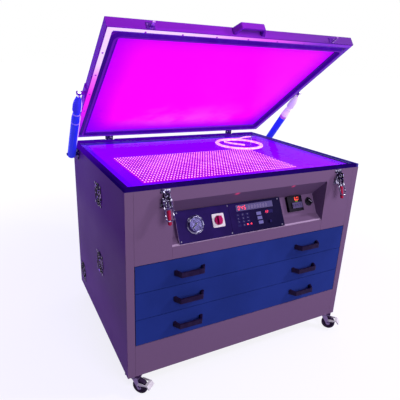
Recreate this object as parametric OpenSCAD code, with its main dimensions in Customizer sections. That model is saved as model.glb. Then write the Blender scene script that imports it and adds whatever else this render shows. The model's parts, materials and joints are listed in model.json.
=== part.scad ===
/* [Cabinet] */
// Width of the cabinet over its side panels
cab_w = 1250; // [1200:10:1400]
// Depth of the cabinet from its front face to its back face
cab_d = 950; // [900:10:1100]
// Height of the sheet metal body above the caster plates
cab_h = 882; // [870:2:960]
// Thickness of the panels' sheet metal
sheet = 2; // [1.5:0.5:2.5]
// Width of the side panels' folded front and back returns
stile_w = 36; // [34:1:45]
// Seam left open round each front panel
seam = 0.4; // [0.3:0.1:0.6]
// Leg of the steel angles in the welded frame
angle_leg = 30; // [25:1:32]
// Thickness of the steel angles and of the floor pan
angle_t = 3; // [2:0.5:4]
// Height of the floor pan's rim and of the top frame's skirt
frame_h = 40; // [30:1:50]
// Width of the top frame's ledge under the glass
ledge_w = 50; // [44:1:55]

/* [Glass top] */
// Thickness of the glass plate
glass_t = 10; // [8:1:12]
// Thickness of the rim under the glass
rim_under = 4; // [3:0.5:6]
// Thickness of the rim over the glass
rim_over = 2; // [1:0.5:3]
// Width of the rim
rim_w = 20; // [15:1:24]
// Thickness of the rim's wall round the glass edge
rim_wall = 3; // [2:0.5:5]
// Depth of the light box below the top frame
box_drop = 57; // [50:1:70]
// Thickness of the light box sheet
box_t = 1.5; // [1:0.5:2]
// Number of rows of light strips
led_rows = 17; // [8:1:20]
// Distance between rows of light strips
led_pitch = 30; // [28:1:32]
// Length of a light strip
led_len = 900; // [700:10:1000]
// Width of a light strip
led_w = 12; // [8:1:20]
// Thickness of a light strip
led_t = 3; // [2:0.5:6]
// Distance of the lit field behind the middle of the cabinet
led_back = 37; // [0:1:40]

/* [Drawers] */
// Number of drawers
drawer_count = 3; // [3:1:3]
// Height of one drawer with its gap
drawer_pitch = 131; // [125:1:135]
// Gap round a drawer front
drawer_gap = 3; // [2:0.5:5]
// Depth of a drawer front's folded edge
front_fold = 16; // [12:1:20]
// Inside length of a drawer tray
tray_d = 760; // [700:10:770]
// Height of a drawer tray
tray_h = 78; // [60:1:80]
// Sheet thickness of a drawer tray
tray_t = 1.5; // [1:0.5:2]
// Width left at each side of a tray for its runner
runner_w = 12; // [10:0.5:15]
// Height of a runner channel
runner_h = 40; // [30:1:45]
// Clearance of the glides in their channels
glide_gap = 0.3; // [0.2:0.1:0.5]
// Length of a drawer handle
handle_l = 150; // [120:2:180]
// Height of a drawer handle's band
handle_h = 24; // [16:1:30]
// Distance that a drawer handle stands out
handle_proud = 38; // [30:1:42]
// Distance of a handle's middle from the middle of the drawer
handle_x = 334; // [250:1:400]
// Thickness of a handle's band
handle_t = 9; // [6:0.5:12]

/* [Control recess] */
// Width of the recess
recess_w = 840; // [820:5:860]
// Height of the recess opening
recess_h = 207; // [200:1:215]
// Distance of the recess opening above the drawers
recess_up = 59; // [55:1:65]
// Depth of the recess at its top fold
recess_d = 78; // [72:1:84]
// Height of the top fold above the recess foot
recess_rise = 131; // [128:1:140]
// Depth of the recess foot
recess_foot = 7; // [5:1:10]
// Sheet thickness of the recess
recess_t = 1.5; // [1:0.5:2]
// Left edge of the dark control plate, from the middle
plate_x0 = -383; // [-390:1:-375]
// Right edge of the dark control plate
plate_x1 = 186; // [180:1:192]
// Thickness of the control plate
plate_t = 2; // [1.5:0.5:3]
// Distance of the recess's back panel behind the control plate
panel_back = 22; // [20:0.5:26]
// Distance from the recess foot, up the slope, to the fold between its floor and back panel
panel_foot = 41.3; // [38:0.1:44]
// Left edge of the controller face
face_x0 = -112; // [-115:1:-110]
// Right edge of the controller face
face_x1 = 162; // [158:1:166]
// Gauge centre, from the middle and above the recess foot
gauge_at = [-292, 77];
// Diameter of the gauge flange
gauge_flange_d = 84; // [80:1:92]
// Diameter of the gauge body
gauge_body_d = 60; // [50:1:64]
// Main switch centre
switch_at = [-176, 79];
// Side of the main switch plate
switch_w = 62; // [54:1:66]
// Selector switch centre
selector_at = [383.6, 102.6];
// Diameter of the selector's ring
selector_d = 45; // [40:1:48]
// Timer centre
timer_at = [283.4, 101.5];
// Width of the timer face
timer_w = 92; // [86:1:96]
// Height of the timer face
timer_h = 79; // [74:1:80]
// Distance that the timer stands out
timer_proud = 18; // [14:1:22]

/* [Latches] */
// Half the distance between the latches
latch_x = 470; // [465:1:475]
// Distance that the two latches sit to the right of the middle
latch_shift = 15; // [0:1:20]
// Height of the lever pivot below the sheet body's top
latch_drop = 27; // [26:1:30]
// Distance of the lever pivot from the front face
latch_out = 18; // [17:0.5:20]
// Length of the lever from its pivot to the end of its grip
lever_l = 117; // [114:1:126]
// Angle at which the open lever leans out from the front
lever_lean = 16; // [0:1:20]
// Diameter of the lever's grip
grip_d = 16; // [12:1:18]
// Distance between the hook's legs
hook_w = 34; // [32:1:38]
// Diameter of the hook wire
hook_wire = 6; // [5:0.5:7]
// Height above the lid's underside at which the hook's bow holds the keeper
keeper_up = 8; // [7:0.5:12]

/* [Lid] */
// Distance that the lid stands over the cabinet at each side
lid_over = 3; // [0:0.5:5]
// Height of the lid frame
lid_h = 43; // [38:1:50]
// Width of the lid frame's border
lid_border = 60; // [58:1:70]
// Angle of the open lid
lid_open = 35.6; // [25:0.1:40]
// Distance from the hinge axis to the lid's back edge
lid_back_gap = 16; // [16:0.5:20]
// Distance of the closed lid's front face behind the cabinet's front face
lid_front_gap = 1; // [0:0.5:4]
// Gap between the closed lid frame and the rim
lid_gap = 12; // [11:0.5:14]
// Thickness of the rubber blanket
blanket_t = 2; // [1:0.5:3]
// Height of the blanket above the frame's underside
blanket_up = 8; // [8:0.5:12]
// Width of the clamp strips
strip_w = 20; // [16:1:22]
// Thickness of the clamp strips
strip_t = 2.5; // [2:0.5:4]
// Distance of the clamp strips from the lid's edge
strip_in = 5; // [3:1:6]
// Distance between clamp screws
screw_pitch = 158; // [120:1:200]
// Width of the rubber seal
seal_w = 28; // [20:1:30]
// Length of the lid handle
lid_handle_l = 164; // [140:2:200]
// Distance that the lid handle stands out
lid_handle_proud = 44; // [36:1:44]
// Height of the lid handle's band
lid_handle_h = 30; // [24:1:36]

/* [Hinges and struts] */
// Distance of a hinge from the middle
hinge_x = 415; // [380:1:450]
// Distance of the hinge axis behind the cabinet's back face
hinge_out = 7; // [7:0.5:9]
// Height of the hinge axis above the sheet body's top
hinge_up = 58; // [56:1:62]
// Diameter of the hinge pin
hinge_pin_d = 8; // [6:0.5:8]
// Width of one hinge knuckle
knuckle_w = 15; // [13:1:20]
// Distance of a strut's middle from the lid's side
strut_out = 30; // [28:0.5:34]
// Distance of the strut's lid pivot in front of the hinge axis
strut_lid_y = 476; // [470:1:482]
// Distance of the strut's lid pivot below the hinge axis
strut_lid_z = 19; // [18:0.5:22]
// Distance of the strut's foot pivot in front of the back face
strut_foot_y = 110; // [105:1:115]
// Distance of the strut's foot pivot below the sheet body's top
strut_foot_z = 30; // [28:1:36]
// Diameter of the strut cylinder
strut_d = 44; // [40:1:46]
// Length of the strut cylinder from its pivot
strut_tube_l = 330; // [320:2:336]
// Diameter of the strut rod
rod_d = 10; // [8:0.5:12]
// Length of the strut rod from its pivot
rod_l = 200; // [190:2:216]
// Diameter of the strut's pivot pins
strut_pin_d = 10; // [8:0.5:12]

/* [Fans and back] */
// Side of a fan's square frame
fan_w = 120; // [110:1:125]
// Depth of a fan's frame
fan_t = 38; // [32:1:38]
// Diameter of a fan's bore
fan_bore = 114; // [104:1:116]
// Diameter of a fan's hub
fan_hub = 44; // [36:1:48]
// Number of blades on a fan
fan_blades = 5; // [4:1:6]
// Pitch angle of a fan's blades
blade_pitch = 38; // [25:1:40]
// Diameter of a guard's wire
guard_wire = 2.4; // [2:0.1:3]
// Fan places, as distance behind the front face and height above the floor pan
fan_places = [[405, 750], [425, 382], [857, 112]];
// Number of louvres in a column
louvre_count = 8; // [4:1:9]
// Distance between louvres
louvre_pitch = 26; // [22:1:30]
// Inner diameter of the cable gland
gland_bore = 12.6; // [10:0.2:14]

/* [Casters] */
// Height from the floor to the cabinet's floor pan
caster_h = 100; // [98:1:110]
// Diameter of a wheel
wheel_d = 75; // [70:1:76]
// Width of a wheel
wheel_w = 24; // [20:1:28]
// Distance of the casters from the cabinet's sides
caster_edge = 42; // [40:1:65]
// Distance of the casters from the cabinet's front and back faces
caster_in = 38; // [38:1:60]
// Distance between the swivel axis and the wheel's axle
trail = 30; // [26:1:32]
// Heading of the front casters, from the X axis
heading = -50; // [-60:1:-40]
// Diameter of an axle
axle_d = 8; // [6:0.5:10]

/* [Vacuum] */
// Outer diameter of the clear hose
hose_d = 9; // [8:0.5:9.5]
// Number of loops in the hose coil
hose_loops = 2; // [1:1:3]
// Distance between the coil's loops
hose_pitch = 11; // [10.5:0.5:14]
// Outer half width of the coil
coil_rx = 142; // [130:1:150]
// Outer half depth of the coil
coil_ry = 149; // [140:1:165]
// Middle of the coil, from the middle of the glass
coil_at = [288, 138];
// Place of the vacuum port, from the middle of the glass
port_at = [501, 326];

/* [Hidden] */
$fn = 48;
tiny = 0.01;

// Running clearance of a pin in its hole, on the radius
fit = 0.05;
// Clearance between moving faces
play = 0.4;

// The brake pedals reach furthest to the front and the cable gland furthest to the back
fork_gap = wheel_w / 2 + 1.5;
pedal_x = trail + 4;
pedal_l = 55;
pedal_y = fork_gap + 9.4;
front_proud = (pedal_x + pedal_l) * sin(-heading) + pedal_y * cos(heading) - caster_in + 10;
gland_nut = 8;
gland_neck = 14;
back_proud = gland_nut + gland_neck;
front_y = front_proud - (cab_d + front_proud + back_proud) / 2;
back_y = front_y + cab_d;
mid_y = front_y + cab_d / 2;
base_z = caster_h;
top_z = base_z + cab_h;
side_x = cab_w / 2;
in_x = side_x - sheet;
stile_x = side_x - stile_w;
pan_top = base_z + angle_t;

gland_at = [430, base_z + 80];

// Front layout
drawers_z0 = base_z + 164;
drawers_z1 = drawers_z0 + drawer_count * drawer_pitch + drawer_gap;
recess_z0 = drawers_z1 + recess_up - 2;
recess_z1 = recess_z0 + recess_h;
fold_z = recess_z0 + recess_rise;
slope_len = norm([recess_d - recess_foot, recess_rise]);
slope_angle = atan2(recess_rise, recess_d - recess_foot);
slope_out = [-sin(slope_angle), cos(slope_angle)];
face_mid = (face_x0 + face_x1) / 2;
controller_w = face_x1 - face_x0 - 66;
controller_h = slope_len - panel_foot - 24;
controller_y0 = panel_foot + 2;

// The recess's folds in Y and Z: its ceiling, back panel, floor and foot
ceiling_dir = unit([recess_d - sheet, fold_z - recess_z1]);
foot_fold = [front_y + recess_foot, recess_z0];
plate_fold = [front_y + recess_d, fold_z];
panel_fold = plate_fold - panel_back / (ceiling_dir * slope_out) * ceiling_dir;
floor_fold = foot_fold + panel_foot * [cos(slope_angle), sin(slope_angle)] - panel_back * slope_out;
recess_line = [[front_y + sheet, recess_z1], panel_fold, floor_fold, foot_fold, [front_y + sheet, recess_z0]];

// Glass top
glass_z = top_z + rim_under;
glass_top = glass_z + glass_t;
rim_top = glass_top + rim_over;
floor_z = top_z - box_drop;
well_x = side_x - ledge_w - 5;
well_y0 = front_y + ledge_w + 5;
well_y1 = back_y - ledge_w - 5;

// Runners
runner_x1 = side_x - 72;
runner_x0 = runner_x1 - runner_w;
tray_x = runner_x0 - 1;
beam_z = drawers_z1 + 4;

// Latch
latch_z = top_z - latch_drop;
trunnion = [latch_out - 5, latch_z - 18];
keeper_out = 30;
keeper_z = rim_top + lid_gap + keeper_up;
hook_l = norm([keeper_out - trunnion[0], keeper_z - trunnion[1]]);
hang_out = latch_out + grip_d / 2 + hook_wire / 2 + play;
hang_angle = asin((hang_out - trunnion[0]) / hook_l);

// Lid, as it lies when closed
lid_z = rim_top + lid_gap;
lid_w = cab_w + 2 * lid_over;
lid_x = lid_w / 2;
hinge_y = back_y + hinge_out;
hinge_z = top_z + hinge_up;
lid_y0 = front_y + lid_front_gap;
lid_y1 = hinge_y - lid_back_gap;
lid_mid = (lid_y0 + lid_y1) / 2;
lid_d = lid_y1 - lid_y0;
knuckle_r = hinge_out;

// Struts
strut_x = lid_x + strut_out;
foot_y = back_y - strut_foot_y;
foot_z = top_z - strut_foot_z;
eye_y = hinge_y - strut_lid_y * cos(lid_open) - strut_lid_z * sin(lid_open);
eye_z = hinge_z + strut_lid_y * sin(lid_open) - strut_lid_z * cos(lid_open);
strut_tilt = atan2(foot_y - eye_y, eye_z - foot_z);

// Casters
caster_x = side_x - caster_edge;
wheel_r = wheel_d / 2;
front_caster_y = front_y + caster_in - 10;
rear_caster_y = back_y - caster_in - 22;
crown_z = base_z - 15;

// Hose
coil_z = glass_top + hose_d / 2 + 0.2;
coil_phase = 75;

// Lead from the coil's outer end to the port, and the loose inner end
lead_points = [[356, 280], [384, 286], [414, 304], [444, 321], [474, 326], [489, 326]];
tail_points = [[287, 261], [262, 255], [242, 237], [235, 208], [248, 168], [272, 132], [300, 98]];

// A direction of length one
function unit(v) = v / norm(v);
// The normal to the left of a line
function left_of(a, b) = let (d = unit(b - a)) [-d[1], d[0]];
// A point of a line of folds, moved sideways by the sheet's thickness
function mitred(p, i, t) =
  i == 0 ? p[0] + t * left_of(p[0], p[1])
  : i == len(p) - 1 ? p[i] + t * left_of(p[i - 1], p[i])
  : let (a = left_of(p[i - 1], p[i]), b = left_of(p[i], p[i + 1]), m = unit(a + b))
    p[i] + t / (m * a) * m;

// The outline of a folded strip whose right face runs along the points
module folded(p, t) {
  polygon(concat(p, [for (i = [len(p) - 1 : -1 : 0]) mitred(p, i, t)]));
}

// A rectangle with round corners, about the origin
module round_rect(w, d, r) {
  square([w - 2 * r, d], center = true);
  square([w, d - 2 * r], center = true);
  for (x = [-1, 1], y = [-1, 1])
    translate([x * (w / 2 - r), y * (d / 2 - r)]) circle(r);
}

// A bar along X whose section is drawn in Y and Z
module along_x(x0, length) {
  translate([x0, 0, 0]) rotate([90, 0, 90]) linear_extrude(length) children();
}

// A bar along Y whose section is drawn in X and Z
module along_y(y0, length) {
  translate([0, y0 + length, 0]) rotate([90, 0, 0]) linear_extrude(length) children();
}

// A box given by its two corners
module block(a, b) {
  translate([for (i = [0 : 2]) min(a[i], b[i])])
    cube([for (i = [0 : 2]) abs(b[i] - a[i])]);
}

// A round bar along X from x0 to x1
module pin_x(x0, x1, r, y = 0, z = 0) {
  translate([x0, y, z]) rotate([0, 90, 0]) cylinder(h = x1 - x0, r = r);
}

// A pan-head screw standing on Z = 0
module pan_head(r, h) {
  rotate_extrude() polygon([[0, 0], [r, 0], [r, h * 0.5], [r * 0.72, h], [0, h]]);
}

// Children drawn on the control slope: X along it, Y up it and Z out of it
module on_slope(at = [0, 0], out = 0) {
  translate([0, front_y + recess_foot, recess_z0]) rotate([slope_angle, 0, 0])
    translate([at[0], at[1], out]) children();
}

// Children drawn on the closed lid, turned to the open lid
module on_lid() {
  translate([0, hinge_y, hinge_z]) rotate([-lid_open, 0, 0])
    translate([0, -hinge_y, -hinge_z]) children();
}

// Children drawn from a strut's foot pivot, with Z along the strut
module on_strut() {
  translate([0, foot_y, foot_z]) rotate([strut_tilt, 0, 0]) children();
}

// Cabinet structure
module corner_post(sx, sy) {
  x = sx * in_x;
  y = sy < 0 ? front_y + sheet : back_y - sheet;
  block([x, y, pan_top], [x - sx * angle_leg, y - sy * angle_t, top_z - frame_h]);
  block([x, y, pan_top], [x - sx * angle_t, y - sy * angle_leg, top_z - frame_h]);
}

module runner_post(sx, y0) {
  x1 = runner_x1 + 25;
  block([sx * runner_x1, y0, pan_top], [sx * (runner_x1 + angle_t), y0 + 25, beam_z]);
  block([sx * runner_x1, y0, pan_top], [sx * x1, y0 + angle_t, beam_z]);
}

module cross_beam(y0) {
  x = in_x - angle_t - 1;
  block([-x, y0, beam_z], [x, y0 + 25, beam_z + angle_t]);
  block([-x, y0, beam_z], [x, y0 + angle_t, beam_z + 25]);
}

post_y0 = front_y + sheet + angle_leg + 2;
post_y1 = back_y - sheet - angle_leg - 27;

module base_frame() color("dimgray") {
  block([-in_x, front_y + sheet, base_z], [in_x, back_y - sheet, pan_top]);
  difference() {
    block([-in_x, front_y + sheet, base_z], [in_x, back_y - sheet, pan_top + frame_h]);
    block([-in_x + angle_t, front_y + sheet + angle_t, base_z + 1],
      [in_x - angle_t, back_y - sheet - angle_t, pan_top + frame_h + 1]);
  }
  for (sx = [-1, 1], sy = [-1, 1]) corner_post(sx, sy);
  for (sx = [-1, 1], y = [post_y0, post_y1]) runner_post(sx, y);
  for (y = [post_y0, post_y1]) cross_beam(y);
  for (sx = [-1, 1], y = [post_y0 - 2, post_y1 + 25])
    block([sx * in_x, y, beam_z], [sx * (in_x - 30), y + 2, beam_z + 25]);
}

// A side panel: a wide face with two folded returns, whose inner lips run between the frame's rims
module side_panel(s) {
  lip = 14;
  lip_z0 = pan_top + frame_h + 1;
  lip_z1 = top_z - frame_h - 1;
  for (y = [front_y, back_y - sheet])
    block([s * stile_x, y, base_z], [s * side_x, y + sheet, top_z]);
  block([s * in_x, front_y, base_z], [s * side_x, back_y, top_z]);
  for (y = [front_y, back_y - lip])
    block([s * stile_x, y, lip_z0], [s * (stile_x + sheet), y + lip, lip_z1]);
}

module side_panel_left() color([0.34, 0.26, 0.4]) difference() {
  side_panel(-1);
  for (p = fan_places)
    pin_x(-side_x - 1, -in_x + 1, fan_bore / 2 - 1, front_y + p[0], base_z + p[1]);
}

module side_panel_right() color([0.34, 0.26, 0.4]) side_panel(1);

louvre_w = 180;
louvre_z = base_z + 420;
louvre_x = 200;

// A pressed hood over one louvre slot
module louvre() along_x(-louvre_w / 2, louvre_w)
  polygon([[0, 0], [7, 0], [8, 1], [0, 14]]);

module back_panel() color([0.34, 0.26, 0.4]) {
  difference() {
    block([-stile_x + seam, back_y - sheet, base_z], [stile_x - seam, back_y, top_z]);
    for (sx = [-1, 1], i = [0 : louvre_count - 1])
      translate([sx * louvre_x, back_y - sheet - 1, louvre_z + i * louvre_pitch])
        translate([-louvre_w / 2 + 2, 0, 2]) cube([louvre_w - 4, sheet + 1.5, 6]);
    translate([gland_at[0], back_y - sheet - 1, gland_at[1]]) rotate([-90, 0, 0])
      cylinder(h = sheet + 2, r = 10);
  }
  for (sx = [-1, 1], i = [0 : louvre_count - 1])
    translate([sx * louvre_x, back_y, louvre_z + i * louvre_pitch]) difference() {
      louvre();
      translate([0, 0, 1.5]) along_x(-louvre_w / 2 + 2, louvre_w - 4)
        polygon([[-1, -3], [5.5, -3], [5.5, 1], [-1, 9]]);
    }
}

module front_panels() color([0.42, 0.33, 0.45]) {
  x = stile_x - seam;
  flange = 18;
  difference() {
    block([-x, front_y, drawers_z1], [x, front_y + sheet, top_z]);
    block([-recess_w / 2, front_y - 1, recess_z0], [recess_w / 2, front_y + sheet + 1, recess_z1]);
    for (s = [-1, 1])
      block([s * recess_w / 2 - 0.5, front_y - 1, drawers_z1 - 1],
        [s * recess_w / 2 + 0.5, front_y + 0.8, recess_z0 - 1]);
  }
  block([-x, front_y, drawers_z1], [x, front_y + flange, drawers_z1 + sheet]);
  block([-x, front_y, base_z], [x, front_y + sheet, drawers_z0]);
  block([-x, front_y, drawers_z0 - sheet], [x, front_y + flange, drawers_z0]);
}

module control_recess() color([0.4, 0.3, 0.45]) {
  x = recess_w / 2;
  cut = -panel_back - recess_t - 1;
  difference() {
    along_x(-x, recess_w) folded(recess_line, recess_t);
    on_slope(gauge_at, cut) cylinder(h = recess_t + 2, r = gauge_body_d / 2 + 0.5);
    on_slope(switch_at, cut) cylinder(h = recess_t + 2, r = 20.5);
    on_slope(selector_at, cut) cylinder(h = recess_t + 2, r = 11.3);
    on_slope(timer_at, cut) translate([-timer_w / 2 + 3, -timer_h / 2 + 3, 0])
      cube([timer_w - 6, timer_h - 6, recess_t + 2]);
  }
  for (s = [-1, 1]) {
    along_x(s > 0 ? x : -x - recess_t, recess_t) {
      polygon(recess_line);
      folded(recess_line, recess_t);
    }
    block([s * x, front_y + sheet, recess_z0], [s * (x + 12), front_y + sheet + recess_t, recess_z1]);
  }
}

module top_frame() color([0.3, 0.22, 0.42]) {
  y0 = front_y + sheet;
  y1 = back_y - sheet;
  difference() {
    block([-in_x, y0, top_z - frame_h], [in_x, y1, top_z]);
    block([-in_x + ledge_w, y0 + ledge_w, top_z - frame_h - 1],
      [in_x - ledge_w, y1 - ledge_w, top_z + 1]);
    block([-in_x + angle_t, y0 + angle_t, top_z - frame_h - 1],
      [in_x - angle_t, y1 - angle_t, top_z - angle_t]);
  }
}

module rim_gasket() color([0.05, 0.04, 0.09])
  translate([0, mid_y, top_z]) difference() {
    linear_extrude(rim_top - top_z) round_rect(cab_w, cab_d, 6);
    translate([0, 0, rim_under]) linear_extrude(glass_t)
      round_rect(cab_w - 2 * rim_wall, cab_d - 2 * rim_wall, 5);
    translate([0, 0, -1]) linear_extrude(rim_top - top_z + 2)
      square([cab_w - 2 * rim_w, cab_d - 2 * rim_w], center = true);
  }

module glass_plate() color([0.6, 0.65, 0.9, 0.4])
  translate([0, mid_y, glass_z]) difference() {
    linear_extrude(glass_t) round_rect(cab_w - 2 * rim_wall, cab_d - 2 * rim_wall, 5);
    translate([port_at[0], port_at[1], -1]) cylinder(h = glass_t + 2, r = 7);
  }

module light_box() color([0.45, 0.15, 0.8]) {
  lip = side_x - rim_w - 2;
  lip_y0 = front_y + rim_w + 2;
  lip_y1 = back_y - rim_w - 2;
  difference() {
    union() {
      block([-well_x, well_y0, floor_z - box_t], [well_x, well_y1, top_z + 0.5]);
      block([-lip, lip_y0, top_z], [lip, lip_y1, top_z + box_t]);
    }
    block([-well_x + box_t, well_y0 + box_t, floor_z],
      [well_x - box_t, well_y1 - box_t, top_z + 5]);
    translate([port_at[0], mid_y + port_at[1], floor_z - 5]) cylinder(h = 10, r = 6.5);
  }
}

module led_strips() color([0.9, 0.5, 0.95])
  for (i = [0 : led_rows - 1])
    translate([-led_len / 2, mid_y + led_back + (i - (led_rows - 1) / 2) * led_pitch - led_w / 2, floor_z])
      cube([led_len, led_w, led_t]);

function runner_z(i) = drawers_z0 + (drawer_count - i) * drawer_pitch + 30;

module drawer_runners() color("silver")
  for (i = [1 : drawer_count], s = [-1, 1]) {
    z = runner_z(i);
    y0 = post_y0;
    y1 = post_y1 + 25;
    block([s * runner_x1, y0, z], [s * (runner_x1 - tray_t), y1, z + runner_h]);
    for (h = [0, runner_h - tray_t])
      block([s * runner_x1, y0, z + h], [s * (runner_x0 + 2), y1, z + h + tray_t]);
  }

// One drawer, with its folded front, tray and glides
module drawer(i) {
  z0 = drawers_z0 + (drawer_count - i) * drawer_pitch + drawer_gap;
  z1 = z0 + drawer_pitch - drawer_gap;
  x = stile_x - drawer_gap;
  y0 = front_y + front_fold;
  y1 = y0 + tray_d + 2 * tray_t;
  zr = runner_z(i);
  color([0.13, 0.18, 0.5]) difference() {
    block([-x, front_y, z0], [x, y0, z1]);
    block([-x + sheet, front_y + sheet, z0 + sheet], [x - sheet, y0 + 1, z1 - sheet]);
  }
  color("slategray") {
    difference() {
      block([-tray_x, y0, z0 + 8], [tray_x, y1, z0 + 8 + tray_h]);
      block([-tray_x + tray_t, y0 + tray_t, z0 + 8 + tray_t],
        [tray_x - tray_t, y1 - tray_t, z1 + 1]);
    }
    for (s = [-1, 1]) {
      block([s * (x - 1), y0 - sheet, z0 + 8], [s * (tray_x - tray_t), y0, z0 + 8 + tray_h]);
      block([s * tray_x, y0 + 30, zr + runner_h / 2],
        [s * (runner_x1 - 2 * tray_t), y1, zr + runner_h / 2 + 2]);
      for (y = [y0 + 30, y1 - 40])
        block([s * tray_x, y, zr + tray_t + glide_gap],
          [s * (runner_x1 - 2 * tray_t), y + 40, zr + runner_h - tray_t - glide_gap]);
    }
  }
}

// A band handle with bevelled ends, drawn on a face at Y = 0 and standing out to -Y
module band_handle(length, proud, height, t) {
  a = length / 2;
  b = a - proud * 0.5;
  translate([0, 0, -height / 2]) linear_extrude(height) difference() {
    polygon([[-a, 0], [-a, -t * 0.6], [-b, -proud], [b, -proud], [a, -t * 0.6], [a, 0]]);
    polygon([[-a + t * 1.7, 1], [-a + t * 1.7, -t * 0.6], [-b + t * 0.6, -proud + t],
      [b - t * 0.6, -proud + t], [a - t * 1.7, -t * 0.6], [a - t * 1.7, 1]]);
  }
}

module drawer_handles(i) color([0.08, 0.08, 0.1]) {
  z = drawers_z0 + (drawer_count - i) * drawer_pitch + drawer_gap + (drawer_pitch - drawer_gap) / 2;
  for (s = [-1, 1]) translate([s * handle_x, front_y, z])
    band_handle(handle_l, handle_proud, handle_h, handle_t);
}

// Fans, drawn with their axis along X and the cabinet's side panel at X = 0
module at_fan(i) {
  translate([-in_x, front_y + fan_places[i][0], base_z + fan_places[i][1]]) children();
}

motor_t = 7;

module fan_frame() {
  difference() {
    translate([0, -fan_w / 2, -fan_w / 2]) cube([fan_t, fan_w, fan_w]);
    pin_x(-1, fan_t + 1, fan_bore / 2);
    for (y = [-1, 1], z = [-1, 1])
      pin_x(-1, fan_t + 1, 2.2, y * (fan_w / 2 - 7.5), z * (fan_w / 2 - 7.5));
  }
  pin_x(fan_t - motor_t, fan_t, fan_hub / 2 + 2);
  for (a = [0, 90, 180, 270]) rotate([a, 0, 0])
    translate([fan_t - motor_t, 0, -2.5]) cube([motor_t, fan_bore / 2 + 2, 5]);
  pin_x(10, fan_t - motor_t + 1, 3);
}

module fan_frames() color([0.1, 0.1, 0.12]) for (i = [0 : 2]) at_fan(i) fan_frame();

module guard() {
  for (a = [45, 135]) rotate([a, 0, 0])
    translate([-guard_wire / 2, -fan_bore / 2 - 8, 0]) rotate([-90, 0, 0])
      cylinder(h = fan_bore + 16, r = guard_wire / 2, $fn = 24);
  for (r = [15, 28, 41, 54]) translate([-guard_wire * 1.3, 0, 0]) rotate([0, 90, 0])
    rotate_extrude() translate([r, 0]) circle(guard_wire / 2, $fn = 24);
  for (a = [45, 135, 225, 315]) rotate([a, 0, 0])
    pin_x(-guard_wire - 1, 0, 5, fan_bore / 2 + 10, 0);
}

module fan_guards() color("silver") for (i = [0 : 2]) at_fan(i) translate([-sheet, 0, 0]) guard();

// A fan blade, drawn along Z with its curved section in X and Y
module blade() {
  w = fan_t - motor_t - 9;
  lean = w * tan(blade_pitch);
  tip = sqrt(pow(fan_bore / 2 - 2.5, 2) - pow(lean / 2 + 2, 2));
  root = fan_hub / 2 - 5;
  line = [for (k = [0 : 4]) [1 + w * k / 4, lean * (0.5 - k / 4) + 2.5 * sin(45 * k)]];
  translate([0, 0, root]) linear_extrude(tip - root)
    polygon(concat([for (v = line) v - [0, 1]], [for (k = [4 : -1 : 0]) line[k] + [0, 1]]));
}

module fan_rotor(i) color([0.16, 0.16, 0.18]) at_fan(i) translate([5, 0, 0]) difference() {
  union() {
    pin_x(0, 24, fan_hub / 2);
    for (k = [0 : fan_blades - 1]) rotate([k * 360 / fan_blades, 0, 0]) blade();
  }
  pin_x(3, 26, 3 + fit);
}

// Controls
module control_plate() color([0.12, 0.1, 0.22]) difference() {
  y1 = slope_len - 3;
  union() {
    on_slope([plate_x0, 2]) cube([plate_x1 - plate_x0, y1 - 2, plate_t]);
    for (x = [plate_x0, plate_x1 - sheet]) on_slope() along_x(x, sheet)
      polygon([[2, 0.5], [y1, 0.5], [y1 - 6, -panel_back], [panel_foot + 0.5, -panel_back]]);
    on_slope([face_x0, 4], plate_t) cube([face_x1 - face_x0, y1 - 6, 1.5]);
    on_slope([face_mid - controller_w / 2, controller_y0], 4 - panel_back)
      cube([controller_w, controller_h, panel_back - 3]);
    controller_keys();
    for (x = [plate_x0 + 10, face_x0 - 4, plate_x1 - 15], y = [11, y1 - 8])
      on_slope([x, y], plate_t) pan_head(3.2, 1.8);
  }
  on_slope(gauge_at, -5) cylinder(h = 12, r = gauge_body_d / 2 + 0.5);
  on_slope(switch_at, -5) cylinder(h = 12, r = 20.5);
}

// The display windows, the keys and the jack of the controller, with Y down from the top fold
module controller_keys() {
  face = plate_t + 1.5;
  on_slope([-73, slope_len - 44], face) cube([209, 29, 1]);
  on_slope([84, slope_len - 73], face) cube([46, 16, 0.8]);
  for (c = [0 : 2], r = [0 : 3])
    on_slope([-79 + 26 * c, slope_len - 67 - 16.5 * r], face) cube([18, 11, 0.8]);
  for (k = [0 : 2])
    on_slope([33 + 2 * k, slope_len - 75 - 21.5 * k], face) cube([26, 15, 1.6]);
  on_slope([103, slope_len - 113], face) cylinder(h = 8, r1 = 7, r2 = 6);
}

module gauge_case() color("silver") on_slope(gauge_at) difference() {
  r = gauge_body_d / 2;
  rotate_extrude() polygon([
    [0, -44], [r - 3, -44], [r, -41], [r, plate_t], [gauge_flange_d / 2, plate_t],
    [gauge_flange_d / 2, plate_t + 2], [36, plate_t + 3], [36, 13], [33.5, 15.5], [31, 15.5],
    [31, 8], [1.5, 8], [1.5, 12.5], [0, 12.5]
  ]);
  for (a = [90, 210, 330]) rotate([0, 0, a])
    translate([gauge_flange_d / 2 - 3, 0, -1]) cylinder(h = 8, r = 2);
}

needle_zero = 225;

module gauge_needle() color([0.1, 0.1, 0.1])
  on_slope(gauge_at, 9.5) rotate([0, 0, needle_zero]) difference() {
    union() {
      cylinder(h = 1.6, r = 4);
      linear_extrude(1) polygon([[-9, -1.6], [0, -2.2], [26, -0.5], [26, 0.5], [0, 2.2], [-9, 1.6]]);
    }
    translate([0, 0, -1]) cylinder(h = 4, r = 1.5 + fit);
  }

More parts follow.
